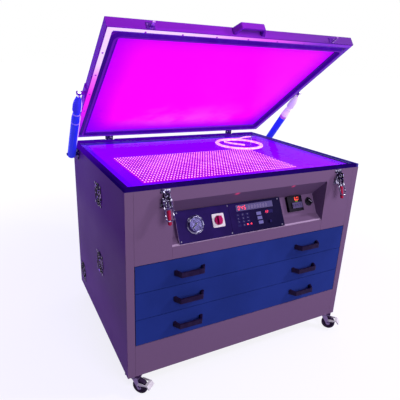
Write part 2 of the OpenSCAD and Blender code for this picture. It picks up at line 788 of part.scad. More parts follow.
module switch_bodies() {
  color([0.9, 0.88, 0.9]) on_slope(switch_at) {
    translate([0, 0, plate_t]) linear_extrude(3) round_rect(switch_w, switch_w, 6);
    translate([0, 0, -34]) cylinder(h = 36.5, r = 20);
    translate([0, 0, plate_t]) cylinder(h = 4.5, r = 21.5);
    cylinder(h = 14, r = 4);
  }
  color([0.12, 0.12, 0.14]) on_slope(selector_at, -panel_back) rotate_extrude() polygon([
    [0, -34], [11, -34], [11, 0], [selector_d / 2, 0], [selector_d / 2, 3], [selector_d / 2 - 4, 6],
    [18, 6], [16.5, 4], [4, 4], [4, 10], [0, 10]
  ]);
}

module switch_knob() color([0.75, 0.08, 0.15]) on_slope(switch_at, 7) difference() {
  union() {
    cylinder(h = 5, r1 = 22, r2 = 20);
    translate([-8, -21, 0]) intersection() {
      cube([16, 42, 19]);
      translate([8, 21, 0]) cylinder(h = 19, r1 = 22, r2 = 19);
    }
  }
  translate([0, 0, -1]) cylinder(h = 9, r = 4 + fit);
}

module selector_knob() color([0.08, 0.08, 0.09])
  on_slope(selector_at, 4.4 - panel_back) rotate([0, 0, 45]) difference() {
    union() {
      cylinder(h = 4, r = 15.5);
      translate([-4.5, -15, 0]) cube([9, 30, 15]);
    }
    translate([0, 0, -1]) cylinder(h = 7, r = 4 + fit);
  }

module timer_case() color([0.06, 0.06, 0.08]) on_slope(timer_at, -panel_back) {
  rim = 4;
  difference() {
    linear_extrude(timer_proud) round_rect(timer_w, timer_h, 5);
    translate([0, 0, timer_proud - 3]) linear_extrude(4) round_rect(timer_w - 2 * rim, timer_h - 2 * rim, 3);
  }
  translate([-timer_w / 2 + 3.5, -timer_h / 2 + 3.5, -80]) cube([timer_w - 7, timer_h - 7, 81]);
  translate([-22, -24, timer_proud - 4]) cube([63, 29, 6]);
  for (i = [0 : 3]) pin_x(-18 + 15 * i, -9 + 15 * i, 10, -9.5, timer_proud - 5);
}

// Children drawn at X = 0, moved to the left or the right latch
module at_latch(s) {
  translate([s * latch_x + latch_shift, 0, 0]) children();
}

// Children drawn for the closed lever, leaned out about its pivot
module leaned() {
  translate([0, front_y - latch_out, latch_z]) rotate([-lever_lean, 0, 0])
    translate([0, latch_out - front_y, -latch_z]) children();
}

module latch_base() {
  translate([0, front_y, 0]) {
    for (s = [-1, 1]) along_x(s > 0 ? 6 : -8.5, 2.5) {
      translate([-latch_out, latch_z]) circle(12);
      translate([-latch_out, latch_z - 12]) square([latch_out, 24]);
    }
    pin_x(-12.5, 12.5, 3, -latch_out, latch_z);
    block([-11.5, -2.5, latch_z - 50], [11.5, 0, top_z - 2]);
    for (z = [latch_z - 42, top_z - 10]) {
      block([-22, -2.5, z - 8], [22, 0, z + 8]);
      for (x = [-17, 17]) translate([x, -2.5, z]) rotate([90, 0, 0]) pan_head(4, 2);
    }
  }
}

module latch_bases() color("silver") for (s = [-1, 1]) at_latch(s) latch_base();

// Height of the lever's neck from its pivot, with 60 mm of grip below
grip_l = 60;
neck_z = grip_l + 5 - lever_l;

// The lever's cheek in Y and Z from the pivot
module cheek() {
  difference() {
    union() {
      circle(9);
      polygon([[-9, 0], [-6, neck_z], [6, neck_z], [9, -20], [9, 0]]);
      translate([5, -18]) circle(8);
    }
    circle(3 + fit);
    translate([5, -18]) circle(4 + fit);
  }
}

module latch_lever() leaned() translate([0, front_y - latch_out, latch_z]) {
  color("silver") {
    for (s = [-1, 1]) along_x(s > 0 ? 9 : -11.5, 2.5) cheek();
    along_x(-9, 18)
      polygon([[-5, neck_z + 10], [-2.5, neck_z + 10], [0.5, neck_z], [-2, neck_z]]);
    block([-9, -3, neck_z], [9, 3, neck_z + 6]);
    translate([0, 0, neck_z - 8]) cylinder(h = 14, r = 4);
  }
  r = grip_d / 2;
  color([0.6, 0.08, 0.2]) translate([0, 0, -lever_l]) rotate_extrude()
    polygon([[0, 0], [5, 0], [r - 0.6, 3], [r, 8], [r - 1, grip_l / 2], [r, grip_l - 4],
      [r - 2, grip_l], [0, grip_l]]);
}

// The hook hangs from the trunnion, its bow in front of the grip
module latch_hook() color("silver") leaned()
  translate([0, front_y - trunnion[0], trunnion[1]]) rotate([-hang_angle, 0, 0]) hook();

// A hook with its trunnion at the origin, drawn hanging straight down
module hook() {
  w = hook_w / 2;
  r = 12;
  leg_end = 10.8;
  pin_x(-w - 4, w + 4, 4);
  for (s = [-1, 1]) {
    translate([s * w, 0, r - hook_l]) cylinder(h = hook_l - r + leg_end, r = hook_wire / 2, $fn = 24);
    for (z = [-leg_end, leg_end - 6]) translate([s * w, 0, z]) cylinder(h = 5.5, r = 5, $fn = 6);
    translate([s * (w - r), 0, r - hook_l]) rotate([90, 0, 0]) rotate([0, 0, s > 0 ? -90 : 180])
      rotate_extrude(angle = 90, $fn = 24) translate([r, 0]) circle(hook_wire / 2, $fn = 24);
  }
  pin_x(r - w, w - r, hook_wire / 2, 0, -hook_l);
}

// Hinges and struts
module cabinet_pivots() color([0.16, 0.12, 0.25]) {
  for (s = [-1, 1]) {
    for (k = [-1, 1]) {
      x = s * hinge_x + k * (knuckle_w + play) - knuckle_w / 2;
      pin_x(x, x + knuckle_w, knuckle_r, hinge_y, hinge_z);
      block([x, back_y, hinge_z - knuckle_r - 10], [x + knuckle_w, back_y + 4, hinge_z]);
    }
    pin_x(s * hinge_x - 1.5 * knuckle_w - 3, s * hinge_x + 1.5 * knuckle_w + 3,
      hinge_pin_d / 2, hinge_y, hinge_z);
    block([s * hinge_x - 1.5 * knuckle_w - play, back_y, top_z - 52],
      [s * hinge_x + 1.5 * knuckle_w + play, back_y + 4, hinge_z - knuckle_r - 2]);
    for (x = [-knuckle_w, knuckle_w], z = [top_z - 40, top_z - 16])
      translate([s * hinge_x + x, back_y + 4, z]) rotate([-90, 0, 0]) pan_head(4.5, 3);
    block([s * side_x, foot_y - 32, foot_z - 26], [s * (side_x + 4), foot_y + 32, foot_z + 26]);
    for (y = [-24, 24], z = [-18, 18])
      translate([s * (side_x + 4), foot_y + y, foot_z + z]) rotate([0, s * 90, 0]) pan_head(4, 2.5);
    strut_pin(s, side_x, foot_y, foot_z);
  }
}

// A strut's pivot pin with its shoulder and its end washer
module strut_pin(s, x0, y, z) {
  x1 = strut_x - strut_d / 2 - play;
  x2 = strut_x + strut_d / 2 + play;
  pin_x(s > 0 ? x0 : -x1, s > 0 ? x1 : -x0, strut_pin_d / 2 + 4, y, z);
  pin_x(s > 0 ? x0 : -x2 - 3, s > 0 ? x2 + 3 : -x0, strut_pin_d / 2, y, z);
  pin_x(s > 0 ? x2 : -x2 - 3, s > 0 ? x2 + 3 : -x2, strut_pin_d / 2 + 3, y, z);
}

lid_eye_w = 14;

module lid_pivots() color([0.2, 0.12, 0.4]) {
  on_lid() for (s = [-1, 1]) {
    pivot_y = hinge_y - strut_lid_y;
    pivot_z = hinge_z - strut_lid_z;
    block([s * lid_x, pivot_y - 34, lid_z + 1], [s * (lid_x + 4), pivot_y + 34, lid_z + lid_h - 1]);
    for (y = [-26, 26])
      translate([s * (lid_x + 4), pivot_y + y, lid_z + 28]) rotate([0, s * 90, 0]) pan_head(4, 2.5);
    x1 = strut_x - lid_eye_w / 2 - play;
    x2 = strut_x + lid_eye_w / 2 + play;
    pin_x(s > 0 ? lid_x : -x1, s > 0 ? x1 : -lid_x, strut_pin_d / 2 + 4, pivot_y, pivot_z);
    pin_x(s > 0 ? lid_x : -x2 - 4, s > 0 ? x2 + 4 : -lid_x, strut_pin_d / 2, pivot_y, pivot_z);
    pin_x(s > 0 ? x2 : -x2 - 4, s > 0 ? x2 + 4 : -x2, strut_pin_d / 2 + 4, pivot_y, pivot_z);
    difference() {
      union() {
        pin_x(s * hinge_x - knuckle_w / 2, s * hinge_x + knuckle_w / 2, knuckle_r, hinge_y, hinge_z);
        block([s * hinge_x - knuckle_w / 2, lid_y1, hinge_z - 4],
          [s * hinge_x + knuckle_w / 2, hinge_y, hinge_z + 4]);
        block([s * hinge_x - 1.5 * knuckle_w, lid_y1, lid_z + 3],
          [s * hinge_x + 1.5 * knuckle_w, lid_y1 + 3, lid_z + lid_h - 3]);
      }
      pin_x(s * hinge_x - knuckle_w, s * hinge_x + knuckle_w, hinge_pin_d / 2 + fit, hinge_y, hinge_z);
    }
  }
}

module strut_cylinders() color([0.2, 0.25, 0.95]) on_strut() for (s = [-1, 1])
  translate([s * strut_x, 0, 0]) difference() {
    r = strut_d / 2;
    bore = 13;
    bore_l = 215;
    mouth = rod_d / 2 + 6;
    end = strut_tube_l;
    rotate_extrude() polygon(concat(
      [[0, -r]],
      [for (a = [-75 : 15 : 0]) [r * 0.25 + r * 0.75 * cos(a), r * 0.75 * sin(a) - r * 0.25]],
      [[r, end - 46], [r * 0.78, end - 8], [r * 0.7, end], [mouth, end],
        [mouth, end - 6], [bore, end - 6], [bore, end - bore_l], [0, end - bore_l]]
    ));
    pin_x(-r - 1, r + 1, strut_pin_d / 2 + fit);
  }

module strut_rods() color("gainsboro") on_strut() for (s = [-1, 1])
  translate([s * strut_x, 0, norm([foot_y - eye_y, eye_z - foot_z])]) {
    difference() {
      union() {
        pin_x(-lid_eye_w / 2, lid_eye_w / 2, 12);
        translate([0, 0, -26]) cylinder(h = 20, r = 7);
        translate([0, 0, -rod_l]) cylinder(h = rod_l - 20, r = rod_d / 2);
      }
      pin_x(-lid_eye_w, lid_eye_w, strut_pin_d / 2 + fit);
    }
  }

// Lid
module lid_frame() color([0.4, 0.2, 0.62]) on_lid() translate([0, lid_mid, lid_z]) difference() {
  union() {
    difference() {
      translate([-lid_x, -lid_d / 2, 0]) cube([lid_w, lid_d, lid_h]);
      translate([-lid_x + lid_border, -lid_d / 2 + lid_border, -1])
        cube([lid_w - 2 * lid_border, lid_d - 2 * lid_border, lid_h + 2]);
      translate([-lid_x + sheet, -lid_d / 2 + sheet, sheet])
        cube([lid_w - 2 * sheet, lid_d - 2 * sheet, lid_h + 2]);
    }
    difference() {
      translate([-lid_x + lid_border - sheet, -lid_d / 2 + lid_border - sheet, 0])
        cube([lid_w - 2 * lid_border + 2 * sheet, lid_d - 2 * lid_border + 2 * sheet, lid_h]);
      translate([-lid_x + lid_border, -lid_d / 2 + lid_border, -1])
        cube([lid_w - 2 * lid_border, lid_d - 2 * lid_border, lid_h + 2]);
    }
    difference() {
      translate([-lid_x, -lid_d / 2, lid_h - sheet]) cube([lid_w, lid_d, sheet]);
      translate([-lid_x + lid_border, -lid_d / 2 + lid_border, -1])
        cube([lid_w - 2 * lid_border, lid_d - 2 * lid_border, lid_h + 2]);
    }
    difference() {
      translate([-lid_x + lid_border - 1, -lid_d / 2 + lid_border - 1, blanket_up + blanket_t])
        cube([lid_w - 2 * lid_border + 2, lid_d - 2 * lid_border + 2, sheet]);
      translate([-lid_x + lid_border + 16, -lid_d / 2 + lid_border + 16, -1])
        cube([lid_w - 2 * lid_border - 32, lid_d - 2 * lid_border - 32, lid_h + 2]);
    }
  }
}

module blanket() color([0.9, 0.1, 0.85]) on_lid() translate([0, lid_mid, lid_z + blanket_up])
  linear_extrude(blanket_t)
    square([lid_w - 2 * lid_border - 0.6, lid_d - 2 * lid_border - 0.6], center = true);

// Screws along one clamp strip
module strip_screws(length) {
  n = floor((length - 40) / screw_pitch / 2);
  for (i = [-n : n]) translate([i * screw_pitch, 0, 0]) rotate([180, 0, 0]) pan_head(4.2, 2.6);
}

module clamp_strips() color([0.85, 0.75, 0.9]) on_lid() translate([0, lid_mid, lid_z]) {
  w = lid_w - 2 * strip_in;
  d = lid_d - 2 * strip_in;
  translate([0, 0, -strip_t]) linear_extrude(strip_t) difference() {
    square([w, d], center = true);
    square([w - 2 * strip_w, d - 2 * strip_w], center = true);
  }
  for (s = [-1, 1]) {
    translate([0, s * (d - strip_w) / 2, -strip_t]) strip_screws(w);
    translate([s * (w - strip_w) / 2, 0, -strip_t]) rotate([0, 0, 90]) strip_screws(d - 100);
  }
}

seal_in = 27;
seal_r = 40;

module lid_seal() color([0.08, 0.04, 0.2]) on_lid() translate([0, lid_mid, lid_z]) {
  w = lid_w - 2 * seal_in;
  d = lid_d - 2 * seal_in;
  depth = lid_z - glass_top - play;
  translate([0, 0, -depth + 5]) linear_extrude(depth - 5) difference() {
    round_rect(w, d, seal_r);
    round_rect(w - 2 * seal_w, d - 2 * seal_w, seal_r - seal_w);
  }
  translate([0, 0, -depth]) linear_extrude(5 + tiny) difference() {
    round_rect(w - 8, d - 8, seal_r - 4);
    round_rect(w - 2 * seal_w + 8, d - 2 * seal_w + 8, seal_r - seal_w + 4);
  }
}

module lid_handle() color([0.4, 0.15, 0.62]) on_lid() translate([0, lid_y0, lid_z + lid_h / 2])
  band_handle(lid_handle_l, lid_handle_proud, lid_handle_h, 11);

module latch_keepers() color("silver") on_lid() for (s = [-1, 1]) at_latch(s) {
  top = keeper_z - hook_wire / 2 - play;
  half = 6.5;
  block([-18, lid_y0 - 2, lid_z + 0.5], [18, lid_y0, lid_z + lid_h - 12]);
  block([-half, lid_y0 - 1, top - 3.5], [half, front_y - keeper_out - 7.5, top]);
  block([-half, front_y - keeper_out - 4, top - 3.5], [half, front_y - keeper_out - 7.5, top + 4]);
  for (x = [-13, 13]) translate([x, lid_y0 - 2, lid_z + lid_h / 2]) rotate([90, 0, 0]) pan_head(3.5, 2);
}

// Casters
module wheel() {
  r = wheel_r;
  h = wheel_w / 2;
  color([0.1, 0.1, 0.11]) rotate([90, 0, 0]) difference() {
    rotate_extrude() polygon([
      [0, -h], [9, -h], [9, -h + 4], [r - 14, -h + 4], [r - 12, -h + 1], [r - 3, -h + 1], [r - 0.8, -h + 4],
      [r, -h + 8], [r, h - 8], [r - 0.8, h - 4], [r - 3, h - 1], [r - 12, h - 1], [r - 14, h - 4],
      [9, h - 4], [9, h], [0, h]
    ]);
    translate([0, 0, -h - 1]) cylinder(h = wheel_w + 2, r = axle_d / 2 + fit);
  }
}

// Children drawn at a front caster's swivel axis, with X along its trail
module at_front_caster(s) {
  translate([s * caster_x, front_caster_y, 0]) rotate([0, 0, heading]) children();
}

module at_rear_caster(s) {
  translate([s * caster_x, rear_caster_y, 0]) rotate([0, 0, 90]) children();
}

// Two legs round a wheel, in X and Z, from a crown down to the axle at the trail
module fork_legs(z1, x_axle) {
  for (s = [-1, 1]) translate([0, s > 0 ? fork_gap + 3 : -fork_gap, 0]) rotate([90, 0, 0]) linear_extrude(3) {
    polygon([[-14, z1], [18, z1], [x_axle + 11, wheel_r + 4], [x_axle + 9, wheel_r - 8],
      [x_axle - 9, wheel_r - 8], [x_axle - 12, wheel_r]]);
    translate([x_axle, wheel_r]) circle(11);
  }
  translate([x_axle, fork_gap + 7, wheel_r]) rotate([90, 0, 0])
    cylinder(h = 2 * fork_gap + 14, r = axle_d / 2);
  for (s = [-1, 1]) translate([x_axle, s > 0 ? fork_gap + 8 : -fork_gap - 3, wheel_r]) rotate([90, 0, 0])
    cylinder(h = 5, r = 7, $fn = 6);
}

module caster_fork(s) color("silver") at_front_caster(s) {
  difference() {
    union() {
      translate([0, 0, crown_z - 4]) cylinder(h = 4, r = 24);
      block([-14, -fork_gap - 3, crown_z - 4], [18, fork_gap + 3, crown_z]);
    }
    translate([0, 0, crown_z - 5]) cylinder(h = 6, r = 5 + fit);
  }
  fork_legs(crown_z, trail);
  for (s = [-1, 1]) translate([pedal_x, s > 0 ? pedal_y : -fork_gap - 2, wheel_r + 22])
    rotate([90, 0, 0]) cylinder(h = pedal_y - fork_gap - 2, r = 2.5);
}

// The foot pedal turns on the fork's two studs and leans over the wheel's tread
module brake_pedal(s) color([0.1, 0.1, 0.11]) at_front_caster(s) translate([pedal_x, 0, wheel_r + 22]) {
  arm_y = pedal_y - 3;
  for (k = [-1, 1]) translate([0, k > 0 ? arm_y + 3 : -arm_y, 0]) rotate([90, 0, 0])
    linear_extrude(3) difference() {
      polygon([[-6, -6], [6, -6], [40, 2], [40, 7], [8, 8], [-6, 6]]);
      circle(2.5 + fit);
    }
  translate([0, pedal_y, 0]) rotate([90, 0, 0]) linear_extrude(2 * pedal_y)
    polygon([[31, 3.5], [39, 2], [pedal_l - 3, -12], [pedal_l, -10], [42, 7], [31, 7]]);
}

module caster_mounts() color("silver") {
  for (s = [-1, 1]) at_front_caster(s) {
    translate([0, 0, base_z - 3]) linear_extrude(3) round_rect(74, 60, 6);
    translate([0, 0, crown_z + play]) cylinder(h = base_z - 3 - crown_z - play, r1 = 23, r2 = 26);
    translate([0, 0, crown_z - 8]) cylinder(h = 12, r = 5);
    translate([0, 0, crown_z - 9]) cylinder(h = 4.6, r = 8);
  }
  for (s = [-1, 1]) at_rear_caster(s) {
    translate([0, 0, base_z - 3]) linear_extrude(3) round_rect(74, 60, 6);
    fork_legs(base_z - 3, 0);
  }
}

// Back fittings, vacuum and power
module cable_gland() color([0.1, 0.1, 0.1]) translate([gland_at[0], back_y, gland_at[1]]) rotate([-90, 0, 0])
  difference() {
    union() {
      translate([0, 0, -sheet - 12]) cylinder(h = 14 + sheet, r = 9.8);
      translate([0, 0, -sheet - 6]) cylinder(h = 6, r = 14, $fn = 6);
      cylinder(h = gland_nut, r = 14, $fn = 6);
      translate([0, 0, gland_nut]) cylinder(h = gland_neck, r1 = 12, r2 = 10);
    }
    translate([0, 0, -sheet - 14]) cylinder(h = 40, r = gland_bore / 2);
  }

pump_top = pan_top + 128;

module vacuum_port() color([0.75, 0.75, 0.8]) {
  x = port_at[0];
  y = mid_y + port_at[1];
  translate([x, y, pump_top]) cylinder(h = glass_top - pump_top + 9, r = 6);
  translate([x, y, glass_top]) cylinder(h = 3, r = 11, $fn = 6);
  translate([x - 12, y, coil_z]) rotate([0, 90, 0]) cylinder(h = 12, r = hose_d / 2);
}

module vacuum_pump() color([0.25, 0.3, 0.35]) translate([port_at[0], mid_y + port_at[1], pan_top]) {
  for (x = [-130, -30]) translate([x, -50, 0]) cube([20, 100, 12]);
  pin_x(-150, 0, 48, 0, 60);
  translate([-40, -50, 12]) cube([60, 100, 100]);
  translate([0, 0, 60]) cylinder(h = 68, r = 10);
  translate([-130, -20, 104]) cube([70, 40, 22]);
}

supply_size = [115, 215, 50];
supply_pitch = 190;

module power_supplies() color("silver") for (i = [0 : 3])
  translate([-430 + i * supply_pitch, -120, pan_top]) difference() {
    cube(supply_size);
    for (k = [0 : 9]) translate([-1, 25 + k * 18, 12]) cube([3, 8, supply_size[2] - 24]);
  }

// Hose
function coil_point(a) = let (k = a / 360, r = hose_pitch * k)
  [coil_at[0] + (coil_rx - r) * cos(a + coil_phase),
    mid_y + coil_at[1] + (coil_ry - r) * sin(a + coil_phase), coil_z];

function smooth(p, i, t) = let (
    a = p[max(i - 1, 0)], b = p[i], c = p[i + 1], d = p[min(i + 2, len(p) - 1)])
  0.5 * (2 * b + (c - a) * t + (2 * a - 5 * b + 4 * c - d) * t * t + (3 * b - a - 3 * c + d) * t * t * t);

function ring(p, q, c, r, n) = let (t = unit(q - p), s = unit(cross(t, [0, 0, 1])), u = cross(s, t))
  [for (k = [0 : n - 1]) c + r * (cos(360 * (k + 0.5) / n) * s + sin(360 * (k + 0.5) / n) * u)];

// A round tube along a line of points
module hose(p, r, n) {
  m = len(p);
  rings = [for (i = [0 : m - 1]) each ring(p[max(i - 1, 0)], p[min(i + 1, m - 1)], p[i], r, n)];
  sides = [for (i = [0 : m - 2], k = [0 : n - 1]) let (a = i * n + k, b = i * n + (k + 1) % n)
    each [[a, b, b + n], [a, b + n, a + n]]];
  caps = [for (k = [1 : n - 2]) each [[0, k + 1, k], [(m - 1) * n, (m - 1) * n + k, (m - 1) * n + k + 1]]];
  polyhedron(concat([for (v = rings) v]), concat(sides, caps));
}

// Points from the middle of the glass, at the height of the lying hose
function level(p) = [for (v = p) [v[0], mid_y + v[1], coil_z]];

// A smooth line through the points, whose first and last stretches stay straight
function route(p, n) = concat(
  [p[0]], [for (i = [1 : len(p) - 3], k = [0 : n - 1]) smooth(p, i, k / n)],
  [p[len(p) - 2], p[len(p) - 1]]);

// The coil, with one straight hose diameter at each end
loop_points = [for (a = [0 : 15 : 360 * hose_loops]) coil_point(a)];
outer_dir = unit(coil_point(0) - coil_point(1));
inner_dir = unit(coil_point(360 * hose_loops) - coil_point(360 * hose_loops - 1));
outer_end = loop_points[0] + hose_d * outer_dir;
inner_end = loop_points[len(loop_points) - 1] + hose_d * inner_dir;
coil_points = concat([outer_end], loop_points, [inner_end]);

// The least gap of the coil to itself, over points at least a sixth of a turn apart
coil_fine = [for (i = [0 : len(coil_points) - 2], k = [0 : 3])
  coil_points[i] + k / 4 * (coil_points[i + 1] - coil_points[i])];
coil_gap = min([for (i = [0 : len(coil_fine) - 1]) for (j = [i + 16 : 1 : len(coil_fine) - 1])
  norm(coil_fine[i] - coil_fine[j])]) - hose_d;
echo(coil_gap = coil_gap);

module hose_coil() color([0.95, 0.7, 1]) hose(coil_points, hose_d / 2, 6);

module hose_lead() color([0.95, 0.7, 1]) {
  hose(route(concat([outer_end, outer_end + 10 * outer_dir], level(lead_points)), 3), hose_d / 2, 8);
  hose(route(concat([inner_end, inner_end + 3 * inner_dir], level(tail_points)), 3), hose_d / 2, 8);
}

base_frame();
side_panel_left();
side_panel_right();
back_panel();
front_panels();
control_recess();
top_frame();
rim_gasket();
glass_plate();
light_box();
led_strips();
drawer_runners();
fan_frames();
fan_guards();
control_plate();
gauge_case();
switch_bodies();
timer_case();
latch_bases();
cabinet_pivots();
caster_mounts();
cable_gland();
vacuum_port();
hose_lead();
hose_coil();
vacuum_pump();
power_supplies();
lid_frame();
blanket();
clamp_strips();
lid_seal();
lid_handle();
latch_keepers();
lid_pivots();
strut_cylinders();
strut_rods();
drawer(1);  // drawer_1
drawer(2);  // drawer_2
drawer(3);  // drawer_3
drawer_handles(1);  // drawer_handles_1
drawer_handles(2);  // drawer_handles_2
drawer_handles(3);  // drawer_handles_3
at_latch(-1) latch_lever();  // latch_lever_left
at_latch(1) latch_lever();  // latch_lever_right
at_latch(-1) latch_hook();  // latch_hook_left
at_latch(1) latch_hook();  // latch_hook_right
caster_fork(-1);  // caster_fork_left
caster_fork(1);  // caster_fork_right
at_front_caster(-1) translate([trail, 0, wheel_r]) wheel();  // wheel_front_left
at_front_caster(1) translate([trail, 0, wheel_r]) wheel();  // wheel_front_right
at_rear_caster(-1) translate([0, 0, wheel_r]) wheel();  // wheel_rear_left
at_rear_caster(1) translate([0, 0, wheel_r]) wheel();  // wheel_rear_right
brake_pedal(-1);  // brake_pedal_left
brake_pedal(1);  // brake_pedal_right
switch_knob();
selector_knob();
gauge_needle();
fan_rotor(0);  // fan_rotor_1
fan_rotor(1);  // fan_rotor_2
fan_rotor(2);  // fan_rotor_3
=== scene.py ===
"""A screen printing exposure unit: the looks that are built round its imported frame."""

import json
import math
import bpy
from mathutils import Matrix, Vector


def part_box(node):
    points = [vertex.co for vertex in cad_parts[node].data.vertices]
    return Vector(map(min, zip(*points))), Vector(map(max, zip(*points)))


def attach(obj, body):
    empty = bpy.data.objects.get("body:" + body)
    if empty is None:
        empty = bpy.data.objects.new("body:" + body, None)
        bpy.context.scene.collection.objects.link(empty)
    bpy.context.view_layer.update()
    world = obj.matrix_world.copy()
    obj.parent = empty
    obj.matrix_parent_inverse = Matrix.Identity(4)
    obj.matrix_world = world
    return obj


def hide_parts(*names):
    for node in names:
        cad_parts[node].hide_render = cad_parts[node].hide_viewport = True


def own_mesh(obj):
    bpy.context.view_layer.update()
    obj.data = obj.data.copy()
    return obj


bl_info = {
    "name": "Exposure Unit Looks",
    "version": (1, 0, 0),
    "blender": (4, 5, 0),
    "location": "View3D > Sidebar > Exposure Unit",
    "description": "Builds the exposure unit's pieces and finishes round its frame",
    "category": "Object",
}

import bmesh
import bpy
from mathutils import Matrix, Vector

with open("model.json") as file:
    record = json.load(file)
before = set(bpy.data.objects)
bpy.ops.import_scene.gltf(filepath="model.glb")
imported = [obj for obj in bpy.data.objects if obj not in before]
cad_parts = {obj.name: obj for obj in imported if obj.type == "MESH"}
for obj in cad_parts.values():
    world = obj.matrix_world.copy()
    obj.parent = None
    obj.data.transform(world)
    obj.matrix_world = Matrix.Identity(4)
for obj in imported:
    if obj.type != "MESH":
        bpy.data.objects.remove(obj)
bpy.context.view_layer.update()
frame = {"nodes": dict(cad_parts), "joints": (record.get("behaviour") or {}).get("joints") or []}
NODES = frame["nodes"]
JOINTS = {joint["name"]: joint for joint in frame["joints"]}


def pivot_of(joint):
    """The point that a joint turns about."""
    return Vector(JOINTS[joint]["pos_m"])


# Where the frame's main faces and axes are, in metres
FRONT_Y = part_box("front_panels")[0].y
BACK_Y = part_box("rim_gasket")[1].y
MID_Y = (FRONT_Y + BACK_Y) / 2
GLASS_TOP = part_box("glass_plate")[1].z
HINGE_X = 0.415
HINGE_Y, HINGE_Z = pivot_of("lid_hinge").yz
STRUT_X = 0.658

# The lid, closed: its lower face, its front and back, and the angle at which it stands open
LID_Z = 1.010
LID_FRONT = FRONT_Y + 0.001
LID_BACK = HINGE_Y - 0.016
LID_MID = (LID_FRONT + LID_BACK) / 2
LID_ANGLE = -math.radians(JOINTS["lid_hinge"]["range_deg"][0])
HINGE = Matrix.Translation((0, HINGE_Y, HINGE_Z))
OPEN_LID = HINGE @ Matrix.Rotation(-LID_ANGLE, 4, "X") @ HINGE.inverted()

# The slope that the controls stand on, and how far the recess's wall lies behind the control plate
SLOPE_RISE, SLOPE_RUN = 0.131, 0.071
SLOPE_ANGLE = math.atan2(SLOPE_RISE, SLOPE_RUN)
SLOPE_LENGTH = math.hypot(SLOPE_RISE, SLOPE_RUN)
SLOPE_FOOT = (0.0, FRONT_Y + 0.007, 0.717)
PANEL_BACK = 0.022


def on_slope(x=0.0, up=0.0, out=0.0):
    """The frame of the control slope: X along it, Y up it and Z out of it."""
    slope = Matrix.Translation(SLOPE_FOOT) @ Matrix.Rotation(SLOPE_ANGLE, 4, "X")
    return slope @ Matrix.Translation((x, up, out))


def slope_place(joint):
    """Where a joint's axis meets the control slope: along it and up it."""
    return (on_slope().inverted() @ pivot_of(joint)).xy


# Colours and shader maths

BLACK, WHITE = (0.0, 0.0, 0.0), (1.0, 1.0, 1.0)


def linear(red, green, blue):
    """A colour given in display values from 0 to 255, as linear light."""
    values = [v / 255 for v in (red, green, blue)]
    return tuple(v / 12.92 if v <= 0.04045 else ((v + 0.055) / 1.055) ** 2.4 for v in values)


def shade(colour, factor, lift=0.0):
    """A colour made darker or paler by a factor, and lifted by a little grey."""
    return tuple(v * factor + lift for v in colour)


def operators(operation):
    """An operator's two methods: with the wire on its left, and on its right."""

    def forward(self, other):
        return self.math(operation, self, other)

    def reflected(self, other):
        return self.math(operation, other, self)

    return forward, reflected


class Wire:
    """A socket that takes Python's operators and adds its Math nodes."""

    __add__, __radd__ = operators("ADD")
    __sub__, __rsub__ = operators("SUBTRACT")
    __mul__, __rmul__ = operators("MULTIPLY")
    __truediv__, __rtruediv__ = operators("DIVIDE")
    __pow__, __rpow__ = operators("POWER")

    def __init__(self, nodes, socket):
        self.nodes, self.socket = nodes, socket

    def __abs__(self):
        return self.math("ABSOLUTE", self)

    def math(self, operation, *values, clamp=False):
        """A Math node's result for these values or wires."""
        settings = {"operation": operation, "use_clamp": clamp}
        return self.nodes.node("ShaderNodeMath", settings, dict(enumerate(values)))

    def over(self, limit):
        """1 where the value is over the limit, and 0 elsewhere."""
        return self.math("GREATER_THAN", self, limit)

    def under(self, limit):
        """1 where the value is under the limit, and 0 elsewhere."""
        return self.math("LESS_THAN", self, limit)

    def within(self, low, high):
        """1 where the value is between two limits, and 0 elsewhere."""
        return self.over(low) * self.under(high)

    def smooth(self, low, high):
        """0 up to low, 1 from high, and a smooth rise between them."""
        values = {"Value": self, "From Min": low, "From Max": high}
        return self.nodes.node("ShaderNodeMapRange", {"interpolation_type": "SMOOTHSTEP"}, values)


class Nodes:
    """A tree whose nodes are written as expressions and feed one shader."""

    # The rays to which the studio's background is white
    seeing_rays = ("Is Camera Ray", "Is Glossy Ray", "Is Transmission Ray")

    def __init__(self, tree, shader, **sockets):
        self.tree, self.shader = tree, tree.nodes[shader]
        self.feed(**sockets)

    def give(self, socket, value):
        """Links a wire to a socket or sets its value, where a colour of three numbers gets its alpha."""
        if isinstance(value, Wire):
            self.tree.links.new(value.socket, socket)
        elif socket.type == "RGBA" and len(value) == 3:
            socket.default_value = (*value, 1.0)
        else:
            socket.default_value = value

    def feed(self, **sockets):
        """Gives the shader's sockets their wires or values."""
        for name, value in sockets.items():
            self.give(self.shader.inputs[name.replace("_", " ")], value)
        return self

    def node(self, kind, settings=None, inputs=None, output=0):
        """Any node: its settings are made first, then its sockets get values or wires."""
        made = self.tree.nodes.new(kind)
        for name, value in (settings or {}).items():
            setattr(made, name, value)
        for name, value in (inputs or {}).items():
            self.give(made.inputs[name], value)
        return Wire(self, made.outputs[output])

    def seen(self, share=0.0):
        """1 for the rays that see the studio's background, and a share for those that only light pieces."""
        for ray in self.seeing_rays:
            path = self.node("ShaderNodeLightPath", output=ray)
            share = path.math("ADD", share, path, clamp=True)
        return share


